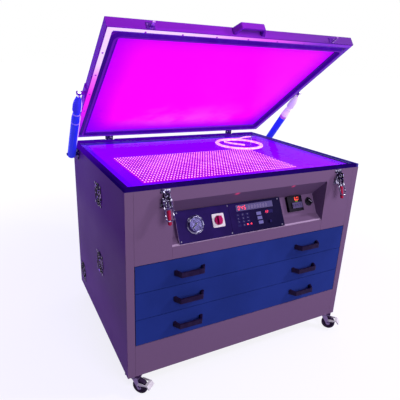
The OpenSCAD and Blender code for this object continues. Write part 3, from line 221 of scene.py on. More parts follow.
class Finish(Nodes):
    """A material with its own surface detail."""

    def __init__(self, name, **sockets):
        self.material = bpy.data.materials.new(name)
        self.material.use_nodes = True
        super().__init__(self.material.node_tree, "Principled BSDF", **sockets)

    def place(self):
        """The point on the piece, in metres."""
        return self.node("ShaderNodeTexCoord", output="Object")

    def axis(self, letter):
        """How far a point lies along X, Y or Z."""
        return self.node("ShaderNodeSeparateXYZ", {}, {0: self.place()}, letter)

    def vector(self, operation, first, second, output="Vector"):
        """A Vector Math node's result."""
        values = {0: first, 1: tuple(second)}
        return self.node("ShaderNodeVectorMath", {"operation": operation}, values, output)

    def along(self, direction, start):
        """How far a point lies along a direction from a start."""
        return self.vector("DOT_PRODUCT", self.vector("SUBTRACT", self.place(), start), direction, "Value")

    def near(self, point, inner, outer):
        """1 within the inner distance of a point, and 0 beyond the outer one."""
        return 1 - self.vector("DISTANCE", self.place(), point, "Value").smooth(inner, outer)

    def noise(self, scale, detail=3.0, rough=0.5, stretch=None):
        """Soft noise from 0 to 1, which a stretch of its three axes turns into grain."""
        place = self.vector("MULTIPLY", self.place(), stretch) if stretch else self.place()
        values = {"Vector": place, "Scale": scale, "Detail": detail, "Roughness": rough}
        return self.node("ShaderNodeTexNoise", {}, values)

    def mix(self, share, first, second):
        """One colour going over into another."""
        return self.node("ShaderNodeMix", {"data_type": "RGBA"}, {0: share, 6: first, 7: second}, 2)

    def glints(self, scale, detail, low, high, dark, pale):
        """Painted reflections: the dark and pale patches that polished metal of many small forms mirrors,
        put into its colour.
        """
        return self.mix(self.noise(scale, detail).smooth(low, high), dark, pale)

    def bump(self, height, strength, distance):
        """A height from 0 to 1, felt through the normal."""
        values = {"Strength": strength, "Distance": distance, "Height": height}
        return self.feed(Normal=self.node("ShaderNodeBump", {}, values))

    def dress(self, *pieces):
        """Puts the material on pieces, and on nodes of the frame given by name."""
        for target in pieces:
            slots = (NODES[target] if isinstance(target, str) else target).data.materials
            slots.clear()
            slots.append(self.material)
        return self


def coated(name, rough, coat=0.0, gloss=0.012, scale=3.2, uneven=0.16):
    """Powder-coated sheet metal without its colour yet: faint orange peel and an uneven gloss."""
    finish = Finish(name, Coat_Weight=coat, Coat_Roughness=0.3, Specular_IOR_Level=gloss)
    cloud, fleck = finish.noise(scale, 4.0, 0.55), finish.noise(420.0, 2.0, 0.6)
    finish.feed(Roughness=(cloud - 0.5) * uneven + rough + (fleck - 0.5) * 0.08)
    finish.bump(finish.noise(900.0, 2.0), 0.12, 0.00025)
    return finish, cloud, fleck


def powder_coat(name, colour, rough, mottle, coat=0.0):
    """A powder coat of one colour, with hazy smudges and fine dust."""
    finish, cloud, fleck = coated(name, rough, coat)
    base = finish.mix(cloud.smooth(0.3, 0.7), shade(colour, 1 - mottle), shade(colour, 1 + mottle))
    dusty = finish.mix(fleck.smooth(0.62, 0.78) * 0.16, base, shade(colour, 1.9, 0.02))
    return finish.feed(Base_Color=dusty)


def drawn(name, rough, grain=(1.0, 1.0, 30.0)):
    """Plated or polished steel without its colour yet: fine drawn grain and small stains."""
    finish = Finish(name, Metallic=1.0)
    streak, stain_and_glint = finish.noise(260.0, 3.0, 0.6, grain), finish.noise(38.0, 4.0, 0.6)
    finish.feed(Roughness=streak * 0.18 + stain_and_glint * 0.12 + (rough - 0.15))
    finish.bump(streak, 0.15, 0.0002)
    return finish, stain_and_glint


def plated(name, colour, rough, grain=(1.0, 1.0, 30.0)):
    """Plated steel of one colour, darker where it is stained."""
    finish, stain_and_glint = drawn(name, rough, grain)
    return finish.feed(Base_Color=finish.mix(stain_and_glint.smooth(0.45, 0.75) * 0.45, colour, shade(colour, 0.55)))


def moulded(name, colour, rough, grain=700.0, gloss=0.05, dust=0.012):
    """Moulded plastic or rubber with a fine eroded texture and handling marks."""
    finish = Finish(name, Specular_IOR_Level=gloss)
    fine, cloud = finish.noise(grain, 3.0, 0.6), finish.noise(24.0, 3.0, 0.6)
    finish.feed(
        Base_Color=finish.mix(cloud.smooth(0.35, 0.75) * 0.5, colour, shade(colour, 1.7, dust)),
        Roughness=(cloud - 0.5) * 0.22 + fine * 0.1 + (rough - 0.05),
    )
    return finish.bump(fine, 0.28, 0.0003)


def printed(name, colour, scale, rough):
    """Print or enamel of one colour, with a slightly uneven gloss."""
    finish = Finish(name, Base_Color=colour)
    return finish.feed(Roughness=finish.noise(scale) * 0.2 + rough)


# Mesh helpers


def add_object(name, data):
    """A new object in the scene, from its data or from a bmesh."""
    if isinstance(data, bmesh.types.BMesh):
        built, data = data, bpy.data.meshes.new(name)
        built.to_mesh(data)
        built.free()
    made = bpy.data.objects.new(name, data)
    bpy.context.scene.collection.objects.link(made)
    return made


def piece(name, mesh, body, finish):
    """A new finished piece, riding on a body of the frame."""
    made = add_object(name, mesh)
    finish.dress(made)
    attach(made, body)
    return made


def smooth_faces(mesh, angle=40):
    """Shades the faces smooth and keeps the edges sharper than the angle."""
    for face in mesh.faces:
        face.smooth = True
    for edge in mesh.edges:
        if len(edge.link_faces) == 2 and edge.calc_face_angle() > math.radians(angle):
            edge.smooth = False


def soften(node, width, segments=2):
    """Rounds a node's sharp edges, which leaves its own mesh as it is."""
    weld = NODES[node].modifiers.new("weld", "WELD")
    weld.merge_threshold = 0.00002
    bevel = NODES[node].modifiers.new("round", "BEVEL")
    bevel.width, bevel.segments, bevel.limit_method = width, segments, "ANGLE"
    bevel.angle_limit, bevel.use_clamp_overlap = math.radians(38), True


def raised(out):
    """A shift by so much out of a face."""
    return Matrix.Translation((0, 0, out))


def polar(radius, turn):
    """A point at a radius and an angle in radians."""
    return radius * math.cos(turn), radius * math.sin(turn)


def add_prism(mesh, frame_of, outline, thick):
    """An outline raised by a thickness."""
    low = [mesh.verts.new(frame_of @ Vector((x, y, 0))) for x, y in outline]
    high = [mesh.verts.new(frame_of @ Vector((x, y, thick))) for x, y in outline]
    mesh.faces.new(high)
    mesh.faces.new(low[::-1])
    for i in range(len(outline)):
        j = (i + 1) % len(outline)
        mesh.faces.new((low[i], low[j], high[j], high[i]))


def join_rings(mesh, rings):
    """Faces between rings of as many points each, where a ring may also be a single point."""
    for low, high in zip(rings, rings[1:]):
        count = max(len(low), len(high))
        for k in range(count):
            n = (k + 1) % count
            corners = (low[k % len(low)], low[n % len(low)], high[n % len(high)], high[k % len(high)])
            unique = list(dict.fromkeys(corners))
            if len(unique) > 2:
                mesh.faces.new(unique)


def add_lathe(mesh, frame_of, profile, sides):
    """A profile of radii and heights turned round the frame's Z axis."""
    rings = []
    for radius, height in profile:
        turns = [math.tau * k / sides for k in range(sides if radius > 0 else 1)]
        rings.append([mesh.verts.new(frame_of @ Vector((*polar(radius, turn), height))) for turn in turns])
    join_rings(mesh, rings)


def add_bar(mesh, frame_of, start, end, width, thick):
    """A thin straight bar between two points of a face."""
    a, b = Vector(start), Vector(end)
    side = (b - a).normalized().orthogonal() * width / 2
    add_prism(mesh, frame_of, [tuple(a + side), tuple(b + side), tuple(b - side), tuple(a - side)], thick)


SEGMENTS = {
    "0": "abcdef", "1": "bc", "2": "abged", "3": "abgcd", "4": "fgbc",
    "5": "afgcd", "6": "afgedc", "7": "abc", "8": "abcdefg", "9": "abcdfg", " ": "",
}


def add_digits(mesh, frame_of, digits, height, pitch, thick=0.0003):
    """Lit figures made of seven bars each, with their lower left corner at the frame's origin."""
    w, h, t, slant = height * 0.5, height, height * 0.12, 0.1
    bars = {
        "a": ((t, h), (w - t, h)), "g": ((t, h / 2), (w - t, h / 2)), "d": ((t, 0), (w - t, 0)),
        "f": ((0, h - t), (0, h / 2 + t)), "b": ((w, h - t), (w, h / 2 + t)),
        "e": ((0, h / 2 - t), (0, t)), "c": ((w, h / 2 - t), (w, t)),
    }
    for place, digit in enumerate(digits):
        for segment in SEGMENTS[digit]:
            start, end = ((x + y * slant + place * pitch, y) for x, y in bars[segment])
            add_bar(mesh, frame_of, start, end, t, thick)


def add_numbers(mesh, entries):
    """Printed numbers, each given as its text, height and frame."""
    for text, height, frame_of in entries:
        curve = bpy.data.curves.new("number", "FONT")
        curve.body, curve.size, curve.align_x, curve.align_y = text, height, "CENTER", "CENTER"
        curve.extrude, curve.resolution_u = 0.00008, 3
        holder = add_object("number", curve)
        bpy.context.view_layer.update()
        flat = bpy.data.meshes.new_from_object(holder.evaluated_get(bpy.context.evaluated_depsgraph_get()))
        flat.transform(frame_of)
        mesh.from_mesh(flat)
        bpy.data.objects.remove(holder)
        bpy.data.meshes.remove(flat)
        bpy.data.curves.remove(curve)


def round_loop(width, depth, radius, steps=8):
    """Points of a rectangle with round corners, about the origin."""
    points = []
    for quarter, (sx, sy) in enumerate(((1, -1), (1, 1), (-1, 1), (-1, -1))):
        for step in range(steps + 1):
            x, y = polar(radius, math.radians(90 * (quarter + step / steps - 1)))
            points.append((sx * (width / 2 - radius) + x, sy * (depth / 2 - radius) + y))
    return points


# Sizes and colours that a user would change


def colour_property(name, description, value):
    """A colour, given in display values."""
    return bpy.props.FloatVectorProperty(
        name=name, description=description, default=linear(*value),
        subtype="COLOR", size=3, min=0.0, max=1.0,
    )


def length_property(name, description, value, low, high):
    """A length in metres, between its least and its most."""
    return bpy.props.FloatProperty(
        name=name, description=description, default=value,
        min=low, max=high, unit="LENGTH", subtype="DISTANCE",
    )


def light_property(name, description, value):
    """A lamp's power or a light's strength."""
    return bpy.props.FloatProperty(name=name, description=description, default=value, min=0.0)


class CabinetLooks(bpy.types.PropertyGroup):
    """Colours of the sheet metal body."""

    # The body's and the recess's purple tint is the room's violet light painted into a grey coat.
    body: colour_property("Body", "Powder coat of the body's panels", (116, 87, 126))
    recess: colour_property("Recess", "Powder coat inside the control recess", (112, 84, 124))
    steel: colour_property("Frame steel", "Paint of the welded frame", (70, 60, 88))
    drawer: colour_property("Drawers", "Powder coat of the drawer fronts", (33, 48, 124))
    tray: colour_property("Trays", "Powder coat of the drawer trays", (92, 96, 118))
    handle: colour_property("Handles", "Moulded drawer handles", (26, 10, 48))


class GlassTopLooks(bpy.types.PropertyGroup):
    """The lit glass top."""

    box: colour_property("Light box", "Paint of the light box under the glass", (88, 0, 255))
    rim: colour_property("Rim", "Rubber rim round the glass", (20, 4, 72))
    board: colour_property("Light strips", "Boards of the light strips", (172, 0, 205))
    dot: colour_property("Lamps", "Small lamps on the strips", (255, 180, 255))
    columns: bpy.props.IntProperty(
        name="Lamps in a row", description="Lamps along one strip", default=56, min=8, max=120
    )
    dot_radius: length_property("Lamp radius", "Radius of one lamp", 0.003, 0.001, 0.006)


class LidLooks(bpy.types.PropertyGroup):
    """The open lid and its rubber sheet."""

    # The sheet's three colours are the lamps' glow painted on: bright in the middle, bluer towards the
    # edges and hinges.
    near: colour_property("Sheet", "Middle of the rubber sheet in the lamps' light", (255, 8, 255))
    far: colour_property("Sheet edge", "Rubber sheet towards its edges", (164, 0, 250))
    low: colour_property("Sheet at the hinge", "Rubber sheet near the hinges", (96, 0, 240))
    # The lid's violet is the lamps' light painted into its coat.
    paint: colour_property("Lid", "Powder coat of the lid frame", (146, 36, 214))
    seal: colour_property("Seal", "Rubber seal round the sheet", (40, 4, 110))
    # The clamp strips' pale colour is the lamps' light painted on them.
    strip: colour_property("Clamp strips", "Clamp strips round the seal", (255, 226, 255))
    wave: length_property("Waviness", "How far the rubber sheet waves", 0.0016, 0.0, 0.004)
    # The struts' blue is the lamps' light painted into their colour.
    strut: colour_property("Struts", "Paint of the gas struts", (28, 34, 245))


class HoseLooks(bpy.types.PropertyGroup):
    """The clear vacuum hose on the glass."""

    diameter: length_property("Diameter", "Outer diameter of the hose", 0.009, 0.004, 0.0095)
    colour: colour_property("Colour", "Colour of the clear hose in the lamps' light", (255, 214, 255))


class ControlLooks(bpy.types.PropertyGroup):
    """The control plate, the gauge and the displays."""

    plate: colour_property("Plate", "Film on the control plate", (34, 18, 78))
    digits: colour_property("Figures", "Lit figures", (255, 40, 60))
    green: colour_property("Lower figures", "Lit figures of the timer's lower row", (190, 230, 60))
    seconds: bpy.props.StringProperty(
        name="Seconds", description="Figures on the long display", default="045"
    )
    timer: bpy.props.StringProperty(name="Timer", description="Figures on the timer", default="60")


class StageLooks(bpy.types.PropertyGroup):
    """The camera, the floor and the lamps of the studio."""

    lens: bpy.props.FloatProperty(
        name="Lens", description="Focal length in millimetres", default=36.39, min=10, max=200
    )
    key: light_property("Key lamp", "Power of the front lamp in watts", 130.0)
    right: light_property("Right lamp", "Power of the lamp on the right in watts", 75.0)
    side: light_property("Violet lamp", "Power of the violet left lamp in watts", 20.0)
    top: light_property("Top lamp", "Power of the lamp overhead in watts", 28.0)
    fill: light_property("Fill", "Strength of the even light all round", 0.33)
    floor: colour_property("Floor", "Colour of the studio floor", (122, 112, 146))


LOOKS = {
    "exposure_cabinet": CabinetLooks,
    "exposure_glass_top": GlassTopLooks,
    "exposure_lid": LidLooks,
    "exposure_hose": HoseLooks,
    "exposure_controls": ControlLooks,
    "exposure_stage": StageLooks,
}


# Operators, one for each piece or group of like pieces


class EXPOSURE_OT_stage(bpy.types.Operator):
    """Makes the camera, the floor and the soft studio light"""

    bl_idname = "exposure.stage"
    bl_label = "Stage"

    def execute(self, context):
        looks = context.scene.exposure_stage
        self.camera(context, looks)
        self.floor(looks)
        self.lamp("key", looks.key, (0.2, -4.6, 2.4), (0.0, 0.0, 0.6), 2.6)
        self.lamp("right", looks.right, (3.3, -2.2, 2.9), (0.0, -0.3, 0.7), 0.5)
        self.lamp("side", looks.side, (-1.9, 0.9, 1.5), (-0.6, 0.2, 0.9), 0.9, (0.25, 0.06, 1.0))
        self.lamp("top", looks.top, (0.6, 0.4, 4.6), (0.0, 0.0, 0.0), 3.2)
        self.world(context, looks)
        context.scene.view_settings.view_transform = "Standard"
        return {"FINISHED"}

    def camera(self, context, looks):
        """The camera at the photograph's viewing angle, by its place and its three axes."""
        place = (-1.06135, -1.8703, 1.47125)
        right, up, back = (0.8857, -0.4625, 0.0419), (0.1170, 0.3093, 0.9438), (-0.4495, -0.8309, 0.3280)
        turn = Matrix([Vector(way).normalized() for way in (right, up, back)]).transposed()
        camera = add_object("camera", bpy.data.cameras.new("camera"))
        camera.matrix_world = Matrix.Translation(place) @ turn.to_4x4()
        camera.data.lens, camera.data.sensor_width = looks.lens, 36.0
        camera.data.clip_start, camera.data.clip_end = 0.05, 200.0
        context.scene.camera = camera

    def floor(self, looks):
        """A wide floor that keeps the object's shadow and goes over into the background."""
        mesh = bmesh.new()
        bmesh.ops.create_circle(mesh, cap_ends=True, radius=60.0, segments=96)
        floor = add_object("floor", mesh)
        finish = Finish("studio floor", Base_Color=looks.floor, Roughness=0.9, Specular_IOR_Level=0.1)
        far = 1 - finish.near((0, 0, 0), 1.2, 3.6)
        white = finish.mix(finish.seen() * (far * 0.14 + 0.83), BLACK, WHITE)
        finish.feed(Emission_Color=white, Emission_Strength=1.0).dress(floor)

    def lamp(self, name, power, at, to, size, colour=WHITE):
        """A round soft lamp that looks from one point to another."""
        lamp = bpy.data.lights.new(name, "AREA")
        lamp.energy, lamp.size, lamp.shape, lamp.color = power, size, "DISK", colour
        holder = add_object(name + " lamp", lamp)
        holder.location = at
        holder.rotation_euler = (Vector(to) - Vector(at)).to_track_quat("-Z", "Y").to_euler()

    def world(self, context, looks):
        """Even light that is stronger from the right, round a background that is seen as white."""
        world = bpy.data.worlds.new("studio")
        context.scene.world = world
        world.use_nodes = True
        sky = Nodes(world.node_tree, "Background", Color=WHITE)
        way = sky.node("ShaderNodeTexCoord", output="Generated")
        values = {
            "Value": sky.node("ShaderNodeSeparateXYZ", {}, {0: way}, "X"),
            "From Min": -0.35, "From Max": 0.4, "To Min": looks.fill * 0.06, "To Max": looks.fill * 1.3,
        }
        sky.feed(Strength=sky.seen(sky.node("ShaderNodeMapRange", {}, values)))


class EXPOSURE_OT_hose(bpy.types.Operator):
    """Lays the clear vacuum hose in its coil on the glass"""

    bl_idname = "exposure.hose"
    bl_label = "Vacuum hose"

    radius, lift = 0.0045, 0.0002
    height = GLASS_TOP + radius + lift

    # The coil: its middle, its half width and half depth, and what each loop is smaller by
    coil_x, coil_y = 0.288, MID_Y + 0.138
    half_width, half_depth = 0.142, 0.149
    pitch, first_angle, last_angle = 0.011, 75, 720

    # What the route goes on with from either end of the coil, measured from the middle of the glass
    lead = ((0.356, 0.280), (0.384, 0.286), (0.414, 0.304), (0.444, 0.321), (0.474, 0.326), (0.489, 0.326))
    tail = (
        (0.287, 0.261), (0.262, 0.255), (0.242, 0.237), (0.235, 0.208),
        (0.248, 0.168), (0.272, 0.132), (0.300, 0.098),
    )

    def coil_point(self, angle):
        """A point of the coil, whose loops grow smaller by one pitch each."""
        inward = self.pitch * angle / 360
        turn = math.radians(angle + self.first_angle)
        x = self.coil_x + (self.half_width - inward) * math.cos(turn)
        y = self.coil_y + (self.half_depth - inward) * math.sin(turn)
        return Vector((x, y, self.height))

    def flowing(self, points, steps=5):
        """A smooth line through points whose first and last stretches stay straight."""
        line = [points[0]]
        for a, b, c, d in zip(points, points[1:], points[2:], points[3:]):
            for t in (k / steps for k in range(steps)):
                bend = (2 * a - 5 * b + 4 * c - d) * t * t + (3 * b - a - 3 * c + d) * t**3
                line.append(0.5 * (2 * b + (c - a) * t + bend))
        return [*line, points[-2], points[-1]]

    def branch(self, end, way, straight, route):
        """What goes on from an end of the coil: a straight stretch and then a route."""
        first = end + 0.009 * way
        rest = [Vector((x, MID_Y + y, self.height)) for x, y in route]
        return self.flowing([first, first + straight * way, *rest])

    def route(self):
        """The hose's points from the port to its open end."""
        loops = [self.coil_point(angle) for angle in range(0, self.last_angle + 1, 6)]
        out = (loops[0] - self.coil_point(1)).normalized()
        inward = (loops[-1] - self.coil_point(self.last_angle - 1)).normalized()
        lead = self.branch(loops[0], out, 0.010, self.lead)
        return lead[::-1] + loops + self.branch(loops[-1], inward, 0.003, self.tail)

    def execute(self, context):
        looks = context.scene.exposure_hose
        points = self.route()
        line = bpy.data.curves.new("vacuum_hose", "CURVE")
        line.dimensions, line.use_fill_caps = "3D", True
        line.bevel_depth, line.bevel_resolution = looks.diameter / 2, 4
        spline = line.splines.new("POLY")
        spline.points.add(len(points) - 1)
        for target, p in zip(spline.points, points):
            target.co = (*p, 1.0)
        spline.use_smooth = True
        hose = add_object("vacuum_hose", line)
        self.clear_plastic(looks).dress(hose)
        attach(hose, "cabinet")
        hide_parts("hose_lead", "hose_coil")
        length = sum((b - a).length for a, b in zip(points, points[1:]))
        return {"FINISHED"}

    def clear_plastic(self, looks):
        """Clear plastic that the lamps under the glass light up."""
        finish = Finish("clear hose", Base_Color=looks.colour, Specular_IOR_Level=0.5, Coat_Weight=0.3)
        finish.feed(Transmission_Weight=0.8, IOR=1.3, Emission_Strength=0.5)
        cloud = finish.noise(60.0)
        glow = finish.mix(cloud.smooth(0.3, 0.7), linear(220, 90, 245), linear(255, 215, 255))
        return finish.feed(Roughness=cloud * 0.2 + 0.12, Emission_Color=glow)


class EXPOSURE_OT_cabinet(bpy.types.Operator):
    """Coats the sheet metal body and the welded frame"""

    bl_idname = "exposure.cabinet"
    bl_label = "Cabinet"

    def execute(self, context):
        looks = context.scene.exposure_cabinet
        self.body_coat(looks).dress("side_panel_left", "side_panel_right", "back_panel", "front_panels")
        for node in ("side_panel_left", "side_panel_right", "front_panels"):
            soften(node, 0.0008)
        self.recess(looks)
        powder_coat("frame paint", looks.steel, 0.55, 0.2).dress("base_frame", "top_frame")
        self.insides()
        return {"FINISHED"}

    def body_coat(self, looks):
        """The left side has painted light: the lamps' violet at the top, greyer lower down and pinker at
        the foot.
        """
        left_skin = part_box("side_panel_left")[0].x + 0.0005
        violet_light_rise, foot_light_fade = (0.62, 0.80), (0.20, 0.48)
        finish, cloud, _ = coated("body coat", 0.46)
        height = finish.axis("Z")
        # Painted light on the left side: violet towards the top, pinker towards the foot, uneven in cloudy
        # patches.
        side = finish.mix(height.smooth(*violet_light_rise), linear(132, 96, 134), linear(106, 42, 126))
        side = finish.mix(height.smooth(*foot_light_fade), linear(146, 88, 156), side)
        side = finish.mix(cloud * 0.3, side, linear(96, 44, 116))
        body = finish.mix(cloud * 0.2, looks.body, shade(looks.body, 0.86))
        return finish.feed(Base_Color=finish.mix(finish.axis("X").under(left_skin), body, side))

    def recess(self, looks):
        """The recess has painted light, paler at its foot and right, and a painted red reflection of the
        lit figures on its ceiling.
        """
        low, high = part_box("control_recess")
        foot, right_wall, ceiling = low.z + 0.006, high.x - 0.0185, (FRONT_Y + 0.009, high.z - 0.008)
        finish = coated("recess coat", 0.4)[0]
        # Painted light: the right wall and the foot are paler where light falls, and the red spots are
        # painted reflections of the lit figures.
        coat = finish.mix(finish.axis("X").over(right_wall), looks.recess, linear(126, 98, 142))
        long_display = finish.near((-0.105, *ceiling), 0.004, 0.018)
        timer = finish.near((0.213, *ceiling), 0.003, 0.015)
        red_reflection_spots = timer.math("MAXIMUM", long_display, timer)
        finish.feed(
            Base_Color=finish.mix(finish.axis("Z").under(foot), coat, linear(178, 148, 190)),
            Emission_Color=finish.mix(red_reflection_spots, BLACK, linear(226, 30, 92)),
            Emission_Strength=0.6,
        )
        finish.dress("control_recess")

    def insides(self):
        """The pieces behind the panels."""
        plated("runner zinc", (0.62, 0.62, 0.66), 0.36, (1.0, 20.0, 1.0)).dress("drawer_runners")
        plated("supply cases", (0.58, 0.59, 0.62), 0.34, (30.0, 1.0, 1.0)).dress("power_supplies")
        powder_coat("pump paint", linear(52, 70, 82), 0.38, 0.2, 0.3).dress("vacuum_pump")
        plated("port brass", linear(214, 206, 218), 0.2).dress("vacuum_port")
        moulded("gland nylon", linear(28, 28, 32), 0.45).dress("cable_gland")


class EXPOSURE_OT_glass_top(bpy.types.Operator):
    """Makes the glass, its rim, the light box and the rows of small lamps"""

    bl_idname = "exposure.glass_top"
    bl_label = "Glass top"

    def execute(self, context):
        looks = context.scene.exposure_glass_top
        self.rim_rubber("rim rubber", looks).dress("rim_gasket")
        self.rear_bead(looks)
        self.glass()
        self.light_box(looks)
        self.lamps(looks)
        return {"FINISHED"}

    def rim_rubber(self, name, looks):
        """Dark rubber that takes more of the lamps' light towards the rear and on the right run."""
        right_run = (0.606, 0.612)
        finish = moulded(name, looks.rim, 0.5, 500.0, 0.0, 0.001)
        glow = finish.mix(finish.axis("Y").smooth(-0.3, 0.40), linear(20, 2, 64), linear(70, 4, 166))
        glow = finish.mix(finish.axis("X").smooth(*right_run) * 0.8, glow, linear(70, 66, 160))
        return finish.feed(Emission_Color=glow, Emission_Strength=0.8)

    def rear_bead(self, looks):
        """A low rubber bead on the rim's rear run, left open at the two hinges."""
        profile = [
            (-0.008, 0.0), (0.008, 0.0), (0.008, 0.0034), (0.006, 0.0054),
            (0.0, 0.006), (-0.006, 0.005), (-0.008, 0.003),
        ]
        end, near, far = 0.605, HINGE_X - 0.028, HINGE_X + 0.028
        quarter = math.radians(90)
        across = Matrix.Rotation(quarter, 4, "Z") @ Matrix.Rotation(quarter, 4, "X")
        mesh = bmesh.new()
        for x0, x1 in ((-end, -far), (-near, near), (far, end)):
            start = Matrix.Translation((x0, BACK_Y - 0.0095, GLASS_TOP + 0.002))
            add_prism(mesh, start @ across, profile, x1 - x0)
        smooth_faces(mesh)
        piece("rear_bead", mesh, "cabinet", self.rim_rubber("bead rubber", looks))

    def glass(self):
        """Clear glass whose smudges show in its gloss."""
        # The violet specular tint paints a violet reflection of the room into the glass.
        finish = Finish("exposure glass", Base_Color=(0.97, 0.95, 1.0), Specular_Tint=(0.4, 0.1, 1.0))
        smudge = finish.noise(7.0, 5.0, 0.65).smooth(0.55, 0.9)
        finish.feed(Transmission_Weight=1.0, IOR=1.013, Roughness=smudge * 0.03 + 0.004)
        finish.dress("glass_plate")

    def light_box(self, looks):
        """The box glows with painted light from the lamps, most of all near their field: paler towards the
        rear and the right, with painted shade in its rear left corner and on its lip, darkest on the lip at
        the rear.
        """
        finish = Finish(
            "light box paint", Base_Color=shade(looks.box, 0.35), Roughness=0.4,
            Specular_IOR_Level=0.005, Emission_Strength=0.95,
        )
        low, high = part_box("led_strips")
        x, y = finish.axis("X"), finish.axis("Y")
        rear = y.smooth(FRONT_Y + 0.15, FRONT_Y + 0.85)
        right = x.smooth(-0.1, 0.5) * (1 - rear)
        # Painted light and shade: paler towards the rear and right, and painted shade in the rear left
        # corner and along the lip under the glass.
        painted_shade_rear_left = y.smooth(MID_Y - 0.35, MID_Y + 0.35) * (1 - x.smooth(-0.575, -0.520))
        lip = finish.axis("Z").over(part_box("light_box")[1].z - 0.004)
        field = x.within(low.x - 0.002, high.x + 0.002) * y.within(low.y - 0.004, high.y + 0.004)
        colour = finish.mix(rear * 0.8 + finish.noise(5.0) * 0.2, linear(104, 0, 255), linear(150, 0, 252))
        colour = finish.mix(right * 0.8, colour, linear(172, 8, 250))
        colour = finish.mix(painted_shade_rear_left * 0.75, colour, linear(66, 0, 172))
        colour = finish.mix(lip * 0.5, colour, linear(70, 0, 190))
        colour = finish.mix(lip * y.over(BACK_Y - 0.060), colour, linear(40, 8, 112))
        finish.feed(Emission_Color=finish.mix(field, colour, looks.board)).dress("light_box")

    def lamps(self, looks):
        """The strips' boards, and one small dome for each lamp in rows on them."""
        board = Finish(
            "light strip board", Base_Color=shade(looks.board, 0.3), Roughness=0.5,
            Specular_IOR_Level=0.01, Emission_Strength=0.62,
        )
        # The boards' glow is painted light from their own lamps, uneven in patches.
        hue = board.mix(board.noise(9.0).smooth(0.35, 0.65), looks.board, linear(222, 10, 232))
        board.feed(Emission_Color=hue).dress("led_strips")
        low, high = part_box("led_strips")
        rows, row_pitch, row_start, margin = 17, 0.030, 0.006, 0.008
        column_pitch = (high.x - low.x - 2 * margin) / (looks.columns - 1)
        r = looks.dot_radius
        profile = [(r, 0.0), (r * 0.9, r * 0.6), (r * 0.5, r), (0.0, r * 1.15)]
        mesh = bmesh.new()
        for row in range(rows):
            for column in range(looks.columns):
                x, y = low.x + margin + column * column_pitch, low.y + row_start + row * row_pitch
                add_lathe(mesh, Matrix.Translation((x, y, high.z)), profile, 8)
        smooth_faces(mesh, 80)
        finish = Finish("lamp domes", Base_Color=shade(looks.dot, 0.4), Roughness=0.25)
        glow = finish.mix(finish.noise(9.0, 2.0).smooth(0.3, 0.7), linear(255, 130, 250), looks.dot)
        finish.feed(Specular_IOR_Level=0.1, Emission_Color=glow, Emission_Strength=2.0)
        piece("lamp_domes", mesh, "cabinet", finish)


